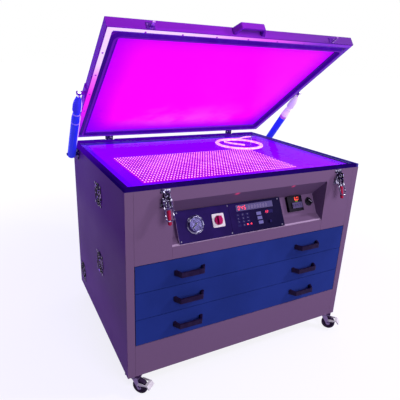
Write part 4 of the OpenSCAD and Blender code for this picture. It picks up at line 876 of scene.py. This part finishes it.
class EXPOSURE_OT_lid(bpy.types.Operator):
    """Makes the lid's rubber sheet, seal, clamp strips and handle"""

    bl_idname = "exposure.lid"
    bl_label = "Lid"

    # The rubber sheet's flat size, and the outer size and corners of the seal round it
    sheet_width, sheet_depth = 1.1354, 0.8194
    seal_width, seal_depth, seal_corner = 1.202, 0.886, 0.040

    def execute(self, context):
        looks = context.scene.exposure_lid
        self.paint(looks)
        self.sheet(looks)
        self.seal(looks)
        self.strips(looks)
        return {"FINISHED"}

    def lid_axes(self, finish):
        """How far a point lies from the hinges along the lid, and out of the lid's open side."""
        start, turn = OPEN_LID @ Vector((0, HINGE_Y, LID_Z)), OPEN_LID.to_3x3()
        return [finish.along(turn @ Vector(way), start) for way in ((0, -1, 0), (0, 0, -1))]

    def paint(self, looks):
        """The lid's coat has the lamps' light painted on its left side, and painted shade that makes it
        greyer to the right.
        """
        finish = coated("lid coat", 0.4)[0]
        x = finish.axis("X")
        left = x.under(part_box("lid_frame")[0].x + 0.0008)
        # Painted light: a violet glow on the left face, and a greyer tone to the right.
        painted_light_tint = finish.mix(x.smooth(-0.2, 0.65), looks.paint, linear(104, 56, 158))
        painted_light_tint = finish.mix(left, painted_light_tint, linear(116, 10, 170))
        finish.feed(
            Base_Color=finish.mix(finish.noise(6.0) * 0.25, painted_light_tint, shade(looks.paint, 0.6)),
            Emission_Color=finish.mix(left, BLACK, linear(92, 6, 156)),
            Emission_Strength=0.6,
        )
        finish.dress("lid_frame", "lid_handle", "lid_pivots")
        soften("lid_handle", 0.003, 3)
        soften("lid_frame", 0.0009)

    def sheet_mesh(self, wave, columns=96, rows=70):
        """The sheet's grid on the open lid, which waves inside and lies flat along its held edges."""
        shape, held_share, height = self.sheet_depth / self.sheet_width, 8, LID_Z + 0.009
        mesh = bmesh.new()
        grid = []
        for v in (j / rows for j in range(rows + 1)):
            for u in (i / columns for i in range(columns + 1)):
                held = min(1.0, held_share * min(u, 1 - u, v * shape, (1 - v) * shape))
                swell = math.sin(9.1 * u + 3.7 * v) * math.cos(7.3 * v - 2.1 * u)
                ripple = 0.5 * math.sin(21 * u - 13 * v)
                x, y = self.sheet_width * (u - 0.5), LID_MID + self.sheet_depth * (v - 0.5)
                z = height + wave * held * (swell + ripple) * 0.6
                grid.append(mesh.verts.new(OPEN_LID @ Vector((x, y, z))))
        step = columns + 1
        for j in range(rows):
            for k in range(j * step, j * step + columns):
                mesh.faces.new((grid[k], grid[k + 1], grid[k + 1 + step], grid[k + step])).smooth = True
        return mesh

    def sheet_rubber(self, looks):
        """Scuffed rubber with the lamps' glow painted on, bluer at its edges and hinges, and a paler
        painted highlight in a band near the hinges.
        """
        finish = Finish("rubber sheet", Specular_IOR_Level=0.02, Emission_Strength=0.8)
        up = (HINGE_Y - finish.axis("Y")) / math.cos(LID_ANGLE)
        side = abs(finish.axis("X")) / (self.sheet_width / 2)
        edge = side.smooth(0.76, 1.02)
        cloud = finish.noise(4.0, 4.0, 0.6)
        scuff = finish.noise(18.0, 6.0, 0.7, (1.0, 2.4, 1.0))
        hue = finish.mix(edge * 0.85 + (cloud - 0.5) * 0.3, looks.near, looks.far)
        hue = finish.mix((1 - up.smooth(0.07, 0.26)) * 0.85 + (cloud - 0.5) * 0.2, hue, looks.low)
        hue = finish.mix((1 - up.smooth(0.12, 0.5)) * edge * 0.8, hue, looks.low)
        hue = finish.mix(up.smooth(0.80, 0.95) * 0.35, hue, looks.far)
        # A painted highlight: a paler patch in a band a little way from the hinges.
        highlight_band = (1 - up.smooth(0.18, 0.42)) * up.smooth(0.10, 0.2)
        spot = highlight_band * (1 - side.smooth(0.3, 0.85)) * cloud.smooth(0.4, 0.7)
        finish.feed(
            Base_Color=finish.mix(scuff.smooth(0.5, 0.8) * 0.4, linear(200, 0, 210), linear(120, 0, 190)),
            Emission_Color=finish.mix(spot * 0.6, hue, linear(255, 84, 255)),
            Roughness=scuff * 0.2 + 0.28,
        )
        return finish.bump(scuff, 0.15, 0.001)

    def sheet(self, looks):
        """The stretched rubber sheet, which stands for the frame's plain blanket."""
        finish = self.sheet_rubber(looks)
        sheet = piece("rubber_sheet", self.sheet_mesh(looks.wave), "lid", finish)
        thick = sheet.modifiers.new("thickness", "SOLIDIFY")
        thick.thickness, thick.offset = 0.002, 0.0
        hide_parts("blanket")

    def seal(self, looks):
        """A hollow rubber seal with a round crown, laid round the sheet."""
        gap = 0.0004
        drop = LID_Z - GLASS_TOP - gap
        width, depth, corner = self.seal_width, self.seal_depth, self.seal_corner
        profile = [
            (0.0, 0.0), (0.0, 0.30), (0.0016, 0.42), (0.0040, 0.50), (0.0052, 0.62),
            (0.0072, 0.80), (0.0104, 0.94), (0.0140, 1.0), (0.0176, 0.96), (0.0206, 0.84),
            (0.0226, 0.66), (0.0236, 0.50), (0.0262, 0.40), (0.0280, 0.28), (0.0280, 0.0),
        ]
        mesh = bmesh.new()
        rings = []
        for inset, share in profile:
            loop = round_loop(width - 2 * inset, depth - 2 * inset, corner - inset)
            z = LID_Z - drop * share
            rings.append([mesh.verts.new(OPEN_LID @ Vector((x, LID_MID + y, z))) for x, y in loop])
        join_rings(mesh, [*rings, rings[0]])
        bmesh.ops.recalc_face_normals(mesh, faces=mesh.faces)
        smooth_faces(mesh, 50)
        finish = moulded("seal rubber", looks.seal, 0.34, 600.0, 0.02)
        # Painted light: the seal glows unevenly in patches, and a painted highlight runs along its crown.
        # The noise named dust only makes the glow uneven.
        crown = self.lid_axes(finish)[1].smooth(0.0118, 0.0132)
        dust = finish.noise(3.0, 4.0, 0.6).smooth(0.4, 0.7)
        glow = finish.mix(dust, linear(74, 0, 158), linear(46, 0, 116))
        glow = finish.mix(crown * 0.7, glow, linear(150, 40, 226))
        finish.feed(Emission_Color=glow, Emission_Strength=0.5)
        seal = piece("seal_bead", mesh, "lid", finish)
        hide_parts("lid_seal")

    def strips(self, looks):
        """Clamp strips with the lamps' light painted on, bright on the left and at the front, with darker
        screws and a painted sheen along their streaks.
        """
        left_strip, front_strip, screw_head = -0.6, 0.937, 0.0028
        finish = Finish("clamp strip metal", Base_Color=linear(70, 20, 130), Specular_IOR_Level=0.05)
        x = finish.axis("X")
        along, out = self.lid_axes(finish)
        streak = finish.noise(90.0, 3.0, 0.6, (1.0, 1.0, 6.0))
        side = finish.mix(along.smooth(0.1, 0.42), linear(172, 0, 236), linear(255, 14, 238))
        side = finish.mix(along.smooth(0.45, 0.62), side, linear(255, 104, 242))
        side = finish.mix(along.smooth(0.6, 0.74), side, looks.strip)
        front = finish.mix(x.smooth(-0.35, 0.15), looks.strip, linear(250, 90, 240))
        front = finish.mix(x.smooth(0.1, 0.45), front, linear(116, 30, 196))
        glow = finish.mix(x.under(left_strip), linear(70, 4, 160), side)
        glow = finish.mix(along.over(front_strip), glow, front)
        glow = finish.mix(out.over(screw_head), glow, linear(150, 24, 190))
        # A painted sheen along the streaks.
        glow = finish.mix(streak.smooth(0.35, 0.7) * 0.15, glow, linear(200, 120, 235))
        finish.feed(Emission_Color=glow, Emission_Strength=0.95, Roughness=streak * 0.25 + 0.2)
        finish.dress("clamp_strips")


class EXPOSURE_OT_drawers(bpy.types.Operator):
    """Coats the drawers and rounds their handles"""

    bl_idname = "exposure.drawers"
    bl_label = "Drawers"

    def execute(self, context):
        looks = context.scene.exposure_cabinet
        front_skin = FRONT_Y + 0.0162
        finish, cloud, fleck = coated("drawer coat", 0.42, gloss=0.02, scale=2.6, uneven=0.14)
        blue = finish.mix(cloud.smooth(0.3, 0.7), shade(looks.drawer, 0.88), shade(looks.drawer, 1.14))
        blue = finish.mix(fleck.smooth(0.62, 0.78) * 0.08, blue, linear(70, 80, 150))
        tray = finish.mix(cloud, looks.tray, shade(looks.tray, 0.8))
        finish.feed(Base_Color=finish.mix(finish.axis("Y").under(front_skin), tray, blue))
        grip = moulded("handle plastic", looks.handle, 0.4, 800.0)
        for i in (1, 2, 3):
            finish.dress(f"drawer_{i}")
            grip.dress(f"drawer_handles_{i}")
            soften(f"drawer_handles_{i}", 0.0022, 3)
        return {"FINISHED"}


class EXPOSURE_OT_controls(bpy.types.Operator):
    """Makes the control plate, its displays and keys, the gauge, the switches and the timer"""

    bl_idname = "exposure.controls"
    bl_label = "Controls"

    # Where the gauge, the selector and the timer stand: along the slope and up it
    gauge_at = slope_place("needle_turn")
    selector_at = slope_place("selector_turn")
    timer_at = (0.2834, 0.1015)

    # How far the controller's face stands out of the slope, and how far up the long display's figures start
    face = 0.0035
    display_up = SLOPE_LENGTH - 0.038

    def execute(self, context):
        looks = context.scene.exposure_controls
        self.control_film(looks)
        self.lit_figures(looks)
        self.panel_print()
        self.gauge_case()
        self.dial()
        self.lens_and_needle()
        self.switches()
        self.timer_case()
        self.timer_figures(looks)
        return {"FINISHED"}

    def lit(self, name, colour, strength):
        """Light behind a lens, a little uneven."""
        finish = Finish(name, Base_Color=colour, Roughness=0.4, Emission_Strength=strength)
        return finish.feed(Emission_Color=finish.mix(finish.noise(400.0), shade(colour, 0.8), colour))

    def slope_axes(self, finish):
        """How far a point lies up the control slope and out of it."""
        cosine, sine = math.cos(SLOPE_ANGLE), math.sin(SLOPE_ANGLE)
        return [finish.along(way, SLOPE_FOOT) for way in ((0.0, cosine, sine), (0.0, -sine, cosine))]

    def control_film(self, looks):
        """The film, the keys, the window and the screws are one node, told apart by where they lie."""
        finish = Finish("control film", Specular_IOR_Level=0.02)
        x = finish.axis("X")
        up, out = self.slope_axes(finish)
        lit_left_edge = x.under(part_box("control_plate")[0].x + 0.0009)
        proud = out.over(0.0040)
        keys = proud * x.over(-0.112)
        window = proud * x.within(-0.074, 0.1365) * up.within(SLOPE_LENGTH - 0.0445, SLOPE_LENGTH - 0.0145)
        large_keys = out.over(0.0048) * x.within(0.030, 0.066) * up.under(SLOPE_LENGTH - 0.050)
        screws = out.within(0.0022, 0.0045) * (x.under(-0.113) + x.over(0.165))
        cloud = finish.noise(14.0, 3.0, 0.6)
        film = finish.mix(cloud.smooth(0.3, 0.7), looks.plate, shade(looks.plate, 1.3))
        film = finish.mix(x.smooth(-0.20, 0.10) * 0.8, film, linear(16, 12, 42))
        film = finish.mix(keys, film, linear(40, 32, 88))
        film = finish.mix(large_keys, film, linear(112, 104, 168))
        film = finish.mix(window, film, linear(92, 82, 132))
        film = finish.mix(screws, film, linear(150, 140, 172))
        # Painted light: the plate's left end face is paler where light falls on it.
        film = finish.mix(lit_left_edge, film, linear(140, 112, 158))
        finish.feed(Base_Color=film, Roughness=cloud * 0.16 + 0.24)
        finish.bump(finish.noise(1200.0), 0.08, 0.0002).dress("control_plate")

    def lit_figures(self, looks):
        """The red figures of the two displays and the two small lamps under them."""
        mesh = bmesh.new()
        long_display = on_slope(-0.063, self.display_up, self.face + 0.00105)
        small_display = on_slope(0.086, SLOPE_LENGTH - 0.070, self.face + 0.00085)
        add_digits(mesh, long_display, looks.seconds, 0.017, 0.0165)
        add_digits(mesh, small_display, "88", 0.010, 0.010)
        for x in (-0.026, -0.005):
            lamp = on_slope(x, SLOPE_LENGTH - 0.110, self.face)
            add_lathe(mesh, lamp, [(0.0032, 0.0), (0.003, 0.002), (0.0, 0.003)], 16)
        piece("lit_figures", mesh, "cabinet", self.lit("red figures", looks.digits, 2.4))

    def panel_print(self):
        """The numbers on the keys and the unlit figures of the long display."""
        mesh = bmesh.new()
        numbers = []
        column_pitch, row_pitch, out = 0.026, 0.0165, self.face + 0.0009
        for place, text in enumerate("123456789 0"):
            row, column = divmod(place, 3)
            x, up = -0.070 + column_pitch * column, SLOPE_LENGTH - 0.0615 - row_pitch * row
            if text != " ":
                numbers.append((text, 0.008, on_slope(x, up, out)))
        add_numbers(mesh, numbers)
        first_unlit = on_slope(-0.005, self.display_up, self.face + 0.00105)
        add_digits(mesh, first_unlit, "8888888", 0.014, 0.0165, 0.00015)
        ink = printed("panel print", linear(150, 130, 170), 300.0, 0.4)
        piece("panel_print", mesh, "cabinet", ink)

    def gauge_case(self):
        """A dark flange with painted glints on its edge, a chromed bezel with the room's reflection painted
        on, and a pale lip round the dial.
        """
        finish = Finish("gauge case", Specular_IOR_Level=0.05)
        x0, up0 = self.gauge_at
        radius = ((finish.axis("X") - x0) ** 2 + (self.slope_axes(finish)[0] - up0) ** 2) ** 0.5
        lip, flange, edge = radius.under(0.0322), radius.over(0.0364), radius.over(0.0402)
        cloud = finish.noise(60.0)
        glint = finish.noise(34.0, 1.0).smooth(0.5, 0.6)
        # Painted reflections in the bezel, and painted glints along the flange's edge.
        bezel = finish.glints(50.0, 1.0, 0.45, 0.55, linear(206, 200, 230), linear(46, 34, 84))
        bezel = finish.mix(flange, bezel, finish.mix(cloud, linear(30, 18, 66), linear(42, 28, 84)))
        bezel = finish.mix(edge * glint, bezel, linear(196, 188, 220))
        finish.feed(
            Base_Color=finish.mix(lip, bezel, linear(112, 104, 166)),
            Metallic=(1 - flange) * (1 - lip),
            Roughness=cloud * 0.16 + flange * 0.14 + 0.12,
        )
        finish.dress("gauge_case")

    def dial(self):
        """The dial's face with its ticks and numbers."""
        at, face_top, face_thick, sweep, ticks = on_slope(*self.gauge_at), 0.0087, 0.0006, 270, 50
        disc = [(0.0, 0.0), (0.0306, 0.0), (0.0306, face_thick), (0.0, face_thick)]
        face = bmesh.new()
        add_lathe(face, at @ raised(face_top - face_thick), disc, 64)
        enamel = Finish("dial enamel", Specular_IOR_Level=0.1)
        enamel.feed(
            Base_Color=enamel.mix(enamel.noise(90.0), linear(116, 106, 168), linear(84, 74, 136)),
            Roughness=enamel.noise(200.0) * 0.1 + 0.3,
        )
        piece("dial_face", face, "cabinet", enamel)
        marks = bmesh.new()
        numbers = []
        for k in range(ticks + 1):
            turn = math.radians(225 - sweep * k / ticks)
            inner, width = (0.0255, 0.0005) if k % 5 else (0.0225, 0.001)
            add_bar(marks, at @ raised(face_top), polar(inner, turn), polar(0.0285, turn), width, 0.0001)
            if k % 10 == 0:
                spot = Matrix.Translation((*polar(0.0180, turn), face_top + 0.0001))
                numbers.append((str(k // 5), 0.0062, at @ spot))
        add_numbers(marks, numbers)
        ink = printed("dial ink", (0.01, 0.01, 0.015), 500.0, 0.35)
        piece("dial_marks", marks, "cabinet", ink)

    def lens_and_needle(self):
        """The domed lens over the dial, and the needle's enamel."""
        lens = bmesh.new()
        profile = [(0.0, 0.0), (0.0308, 0.0), (0.0308, 0.001), (0.016, 0.0016), (0.0, 0.0018)]
        add_lathe(lens, on_slope(*self.gauge_at, 0.0134), profile, 64)
        smooth_faces(lens)
        clear = Finish("gauge lens", Base_Color=WHITE, Transmission_Weight=1.0, IOR=1.12)
        clear.feed(Roughness=clear.noise(40.0).smooth(0.5, 0.9) * 0.08 + 0.01)
        piece("gauge_lens", lens, "cabinet", clear)
        printed("needle enamel", linear(20, 16, 26), 300.0, 0.3).dress("gauge_needle")

    def switches(self):
        """The white main switch with its red knob, and the dark selector with its pale mark."""
        finish = Finish("switch plastic", Specular_IOR_Level=0.1)
        cloud = finish.noise(60.0)
        pale = finish.mix(cloud, linear(232, 222, 236), linear(214, 202, 222))
        dark = finish.mix(cloud, linear(30, 26, 40), linear(44, 38, 56))
        right = finish.axis("X").over(0.1)
        finish.feed(Base_Color=finish.mix(right, pale, dark), Roughness=cloud * 0.16 + 0.22)
        finish.bump(finish.noise(800.0), 0.1, 0.0002).dress("switch_bodies")
        moulded("knob plastic", linear(168, 12, 92), 0.3, 900.0).dress("switch_knob")
        moulded("selector plastic", linear(26, 22, 34), 0.32, 900.0).dress("selector_knob")
        soften("switch_knob", 0.0012)
        soften("selector_knob", 0.0008)
        w, h, corner = 0.0015, 0.012, 0.0008
        outline = [(corner - w, -h), (w - corner, -h), (w, corner - h), (w, h - corner)]
        outline += [(-x, -y) for x, y in outline]
        knob_face = on_slope(*self.selector_at, 0.0044 - PANEL_BACK)
        turned = Matrix.Rotation(math.radians(45), 4, "Z") @ raised(0.01505)
        bar = bmesh.new()
        add_prism(bar, knob_face @ turned, outline, 0.0004)
        line = printed("selector mark", linear(150, 140, 172), 300.0, 0.35)
        piece("selector_mark", bar, "selector_knob", line)

    def timer_case(self):
        """The timer's dark case, with its thumbwheels paler."""
        x0, up0 = self.timer_at
        finish = Finish("timer plastic", Specular_IOR_Level=0.04)
        up, out = self.slope_axes(finish)
        wheels = finish.axis("X").within(x0 - 0.0221, x0 + 0.0411) * up.under(up0 + 0.0051)
        wheels = wheels * out.over(0.0195 - PANEL_BACK)
        cloud = finish.noise(60.0)
        dark = finish.mix(cloud, linear(20, 14, 30), linear(32, 24, 44))
        finish.feed(Base_Color=finish.mix(wheels, dark, linear(84, 70, 116)), Roughness=cloud * 0.2 + 0.24)
        finish.bump(finish.noise(900.0), 0.2, 0.0003).dress("timer_case")

    def timer_figures(self, looks):
        """The timer's two rows of lit figures."""
        base = on_slope(*self.timer_at, 0.0151 - PANEL_BACK)
        upper, lower = bmesh.new(), bmesh.new()
        add_digits(upper, base @ Matrix.Translation((0.002, 0.016, 0)), looks.timer, 0.016, 0.014)
        add_digits(lower, base @ Matrix.Translation((0.004, 0.0066, 0)), looks.timer, 0.0068, 0.008)
        red = self.lit("timer red", linear(255, 70, 44), 3.0)
        green = self.lit("timer green", looks.green, 1.0)
        piece("timer_figures", upper, "cabinet", red)
        piece("timer_lower_figures", lower, "cabinet", green)


class EXPOSURE_OT_latches(bpy.types.Operator):
    """Finishes the toggle latches and the keepers"""

    bl_idname = "exposure.latches"
    bl_label = "Latches"

    def execute(self, context):
        steel = drawn("latch plating", 0.2)[0]
        # Painted reflections: dark and pale patches put into the plating's colour.
        glint = steel.glints(110.0, 2.0, 0.48, 0.66, linear(52, 40, 78), linear(206, 200, 226))
        steel.feed(Base_Color=glint).dress("latch_bases", "latch_hook_left", "latch_hook_right")
        self.keepers()
        self.levers()
        return {"FINISHED"}

    def levers(self):
        """Levers with painted reflections in their metal, and ribbed red grips at their ends."""
        lean, grip_start = math.radians(16), 0.0568
        finish = Finish("latch lever", Specular_IOR_Level=0.1)
        pivot = pivot_of("latch_lever_left_pivot")
        along = finish.along((0.0, -math.sin(lean), -math.cos(lean)), pivot)
        grip = along.over(grip_start)
        streak, cloud = finish.noise(260.0, 3.0, 0.6, (1.0, 1.0, 20.0)), finish.noise(50.0, 3.0, 0.6)
        ribs = along.math("SINE", along * 1800.0) * grip
        red = finish.mix(cloud, linear(196, 18, 74), linear(140, 8, 56))
        # Painted reflections in the lever metal.
        metal = finish.glints(110.0, 2.0, 0.48, 0.66, linear(48, 36, 72), linear(198, 192, 218))
        finish.feed(
            Base_Color=finish.mix(grip, metal, red),
            Metallic=1 - grip,
            Roughness=streak * 0.16 + grip * 0.22 + 0.1,
        )
        finish.bump(ribs * 0.5 + streak * 0.1, 0.35, 0.0006).dress("latch_lever_left", "latch_lever_right")

    def keepers(self):
        """Keepers whose plates are coated like the lid and whose hooks have painted glints in bright
        patches.
        """
        plate_thick = 0.0022
        finish = Finish("keeper steel", Specular_IOR_Level=0.05)
        front = OPEN_LID @ Vector((0.0, LID_FRONT, LID_Z))
        way = OPEN_LID.to_3x3() @ Vector((0, -1, 0))
        hook = finish.along(way, front).over(plate_thick)
        stain_and_glint = finish.noise(38.0, 4.0, 0.6)
        plate = finish.mix(stain_and_glint, linear(108, 34, 178), linear(80, 20, 146))
        finish.feed(
            # The hooks' bright patches are painted glints.
            Base_Color=finish.mix(hook * stain_and_glint.smooth(0.4, 0.6), plate, linear(206, 140, 236)),
            Metallic=hook * 0.6,
            Roughness=stain_and_glint * 0.14 + 0.2,
        )
        finish.dress("latch_keepers")


class EXPOSURE_OT_struts(bpy.types.Operator):
    """Finishes the hinges, the gas struts and their rods"""

    bl_idname = "exposure.struts"
    bl_label = "Hinges and struts"

    # A strut's foot on the cabinet and its eye on the open lid
    foot, eye = pivot_of("strut_foot"), pivot_of("strut_eye")
    way = (eye - foot).normalized()

    # Where a cylinder's two rings are along its run, and the pale colour painted where the lamps light it
    # most
    rings = (0.256, 0.314)
    pale = linear(232, 206, 250)

    def execute(self, context):
        self.cylinders(context.scene.exposure_lid)
        self.boots()
        plated("rod chrome", linear(226, 220, 240), 0.14, (1.0, 1.0, 1.0)).dress("strut_rods")
        hinges = coated("hinge paint", 0.4)[0]
        # Painted glints: pale spots put into the hinges' colour.
        glint = hinges.glints(150.0, 1.0, 0.6, 0.66, linear(44, 26, 92), linear(226, 200, 255))
        hinges.feed(Base_Color=glint).dress("cabinet_pivots")
        return {"FINISHED"}

    def cylinders(self, looks):
        """Blue cylinders with a painted glow and painted highlights, pale at the right one's upper end and
        along the left one's inner side.
        """
        finish = Finish("strut paint", Specular_IOR_Level=0.1, Emission_Strength=0.45)
        x, run, cloud = finish.axis("X"), finish.along(self.way, self.foot), finish.noise(16.0)
        first, second = (1 - abs(run - ring).smooth(0.003, 0.0045) for ring in self.rings)
        upper_end_highlight = x.over(0.0) * run.smooth(0.240, 0.252)
        inner_side_highlight = x.under(0.0) * x.smooth(-0.6445, -0.6405) * run.smooth(0.07, 0.13)
        lit = x.math("MINIMUM", upper_end_highlight + inner_side_highlight, 1.0)
        pink_highlight = upper_end_highlight * (1 - run.smooth(0.256, 0.268))
        paint = finish.mix(cloud, looks.strut, shade(looks.strut, 0.6))
        # The cylinders' glow is painted light.
        glow = finish.mix(cloud, linear(30, 34, 210), linear(64, 72, 255))
        paint, glow = (finish.mix(lit, colour, self.pale) for colour in (paint, glow))
        paint, glow = (finish.mix(pink_highlight, colour, linear(176, 30, 176)) for colour in (paint, glow))
        finish.feed(
            Base_Color=finish.mix((first + second) * 0.85, paint, linear(190, 150, 240)),
            Roughness=cloud * 0.16 + 0.14,
            Emission_Color=glow,
        )
        finish.bump(first + second, 0.5, 0.0008).dress("strut_cylinders")

    def boot_profile(self, low, high, folds=12):
        """A folded sleeve round the rod, as wide as the cylinder at its foot and tapering to the eye."""
        bore, foot_radius, wide, narrowing = 0.0079, 0.0205, 0.0217, 0.0125
        profile = [(bore, low), (foot_radius, low)]
        for share in (k / (folds * 4) for k in range(folds * 4 + 1)):
            taper = min(1.0, max(0.0, (share - 0.34) / 0.66))
            radius = wide - narrowing * taper**1.7 + 0.0005 * math.cos(math.tau * folds * share)
            profile.append((radius, low + 0.001 + (high - low - 0.002) * share))
        return profile + [(bore, high), (bore, low)]

    def boots(self):
        """A folded rubber boot on each rod."""
        low, high = -0.112, -0.024
        mesh = bmesh.new()
        turn = self.way.to_track_quat("Z", "Y").to_matrix().to_4x4()
        for side in (-1, 1):
            eye = Matrix.Translation((side * STRUT_X, self.eye.y, self.eye.z))
            add_lathe(mesh, eye @ turn, self.boot_profile(low, high), 40)
        bmesh.ops.remove_doubles(mesh, verts=mesh.verts, dist=1e-6)
        bmesh.ops.recalc_face_normals(mesh, faces=mesh.faces)
        smooth_faces(mesh, 50)
        finish = Finish("boot rubber", Specular_IOR_Level=0.05, Emission_Strength=0.35)
        x, cloud = finish.axis("X"), finish.noise(30.0)
        # Painted light: the right boot is pale, and the left boot is pale along its inner side where the
        # lamps light them, and both glow with painted light.
        left = finish.mix(cloud, linear(66, 62, 244), linear(46, 36, 216))
        left = finish.mix(x.smooth(-0.6450, -0.6410), left, self.pale)
        right = finish.mix(cloud, linear(236, 214, 248), linear(206, 180, 244))
        hue = finish.mix(x.over(0.0), left, right)
        finish.feed(Base_Color=hue, Emission_Color=hue, Roughness=cloud * 0.2 + 0.25)
        boots = piece("strut_boots", mesh, "strut_rods", finish)
        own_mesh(boots)


class EXPOSURE_OT_fans(bpy.types.Operator):
    """Finishes the side fans and their wire guards"""

    bl_idname = "exposure.fans"
    bl_label = "Fans"

    def execute(self, context):
        moulded("fan frame plastic", linear(16, 10, 26), 0.42, 700.0, 0.03).dress("fan_frames")
        rotor = moulded("rotor plastic", linear(34, 22, 52), 0.34, 900.0)
        rotor.dress("fan_rotor_1", "fan_rotor_2", "fan_rotor_3")
        wire = drawn("guard wire", 0.25)[0]
        # Painted reflections: dark and pale patches put into the guard wire's colour.
        glint = wire.glints(90.0, 2.0, 0.52, 0.68, linear(34, 16, 58), linear(178, 146, 214))
        wire.feed(Base_Color=glint).dress("fan_guards")
        return {"FINISHED"}


class EXPOSURE_OT_casters(bpy.types.Operator):
    """Finishes the casters and their brake pedals"""

    bl_idname = "exposure.casters"
    bl_label = "Casters"

    def execute(self, context):
        zinc = plated("caster zinc", linear(112, 92, 134), 0.32)
        zinc.dress("caster_mounts", "caster_fork_left", "caster_fork_right")
        tyre = moulded("wheel rubber", linear(44, 26, 58), 0.46, 500.0)
        tyre.dress("wheel_front_left", "wheel_front_right", "wheel_rear_left", "wheel_rear_right")
        pad = moulded("pedal plastic", linear(204, 194, 210), 0.4, 600.0)
        for node in ("brake_pedal_left", "brake_pedal_right"):
            pad.dress(node)
            soften(node, 0.0006)
        return {"FINISHED"}


OPERATORS = (
    EXPOSURE_OT_stage,
    EXPOSURE_OT_hose,
    EXPOSURE_OT_cabinet,
    EXPOSURE_OT_glass_top,
    EXPOSURE_OT_lid,
    EXPOSURE_OT_drawers,
    EXPOSURE_OT_controls,
    EXPOSURE_OT_latches,
    EXPOSURE_OT_struts,
    EXPOSURE_OT_fans,
    EXPOSURE_OT_casters,
)


class EXPOSURE_PT_looks(bpy.types.Panel):
    """Lists the exposure unit's sizes, colours and pieces"""

    bl_idname = "EXPOSURE_PT_looks"
    bl_label = "Exposure Unit"
    bl_space_type = "VIEW_3D"
    bl_region_type = "UI"
    bl_category = "Exposure Unit"

    def draw(self, context):
        for name in LOOKS:
            box = self.layout.box()
            looks = getattr(context.scene, name)
            for prop in looks.bl_rna.properties:
                if not prop.is_readonly and prop.identifier != "name":
                    box.prop(looks, prop.identifier)
        for operator in OPERATORS:
            self.layout.operator(operator.bl_idname)


CLASSES = (*LOOKS.values(), *OPERATORS, EXPOSURE_PT_looks)


def register():
    """Registers the classes and ties the looks to the scene."""
    for made in CLASSES:
        bpy.utils.register_class(made)
    for name, made in LOOKS.items():
        setattr(bpy.types.Scene, name, bpy.props.PointerProperty(type=made))


def unregister():
    """Takes back what register made."""
    for name in LOOKS:
        delattr(bpy.types.Scene, name)
    for made in reversed(CLASSES):
        bpy.utils.unregister_class(made)


def main():
    register()
    for operator in OPERATORS:
        group, name = operator.bl_idname.split(".")
        getattr(getattr(bpy.ops, group), name)()
    bpy.context.view_layer.update()


if __name__ == "__main__":
    main()
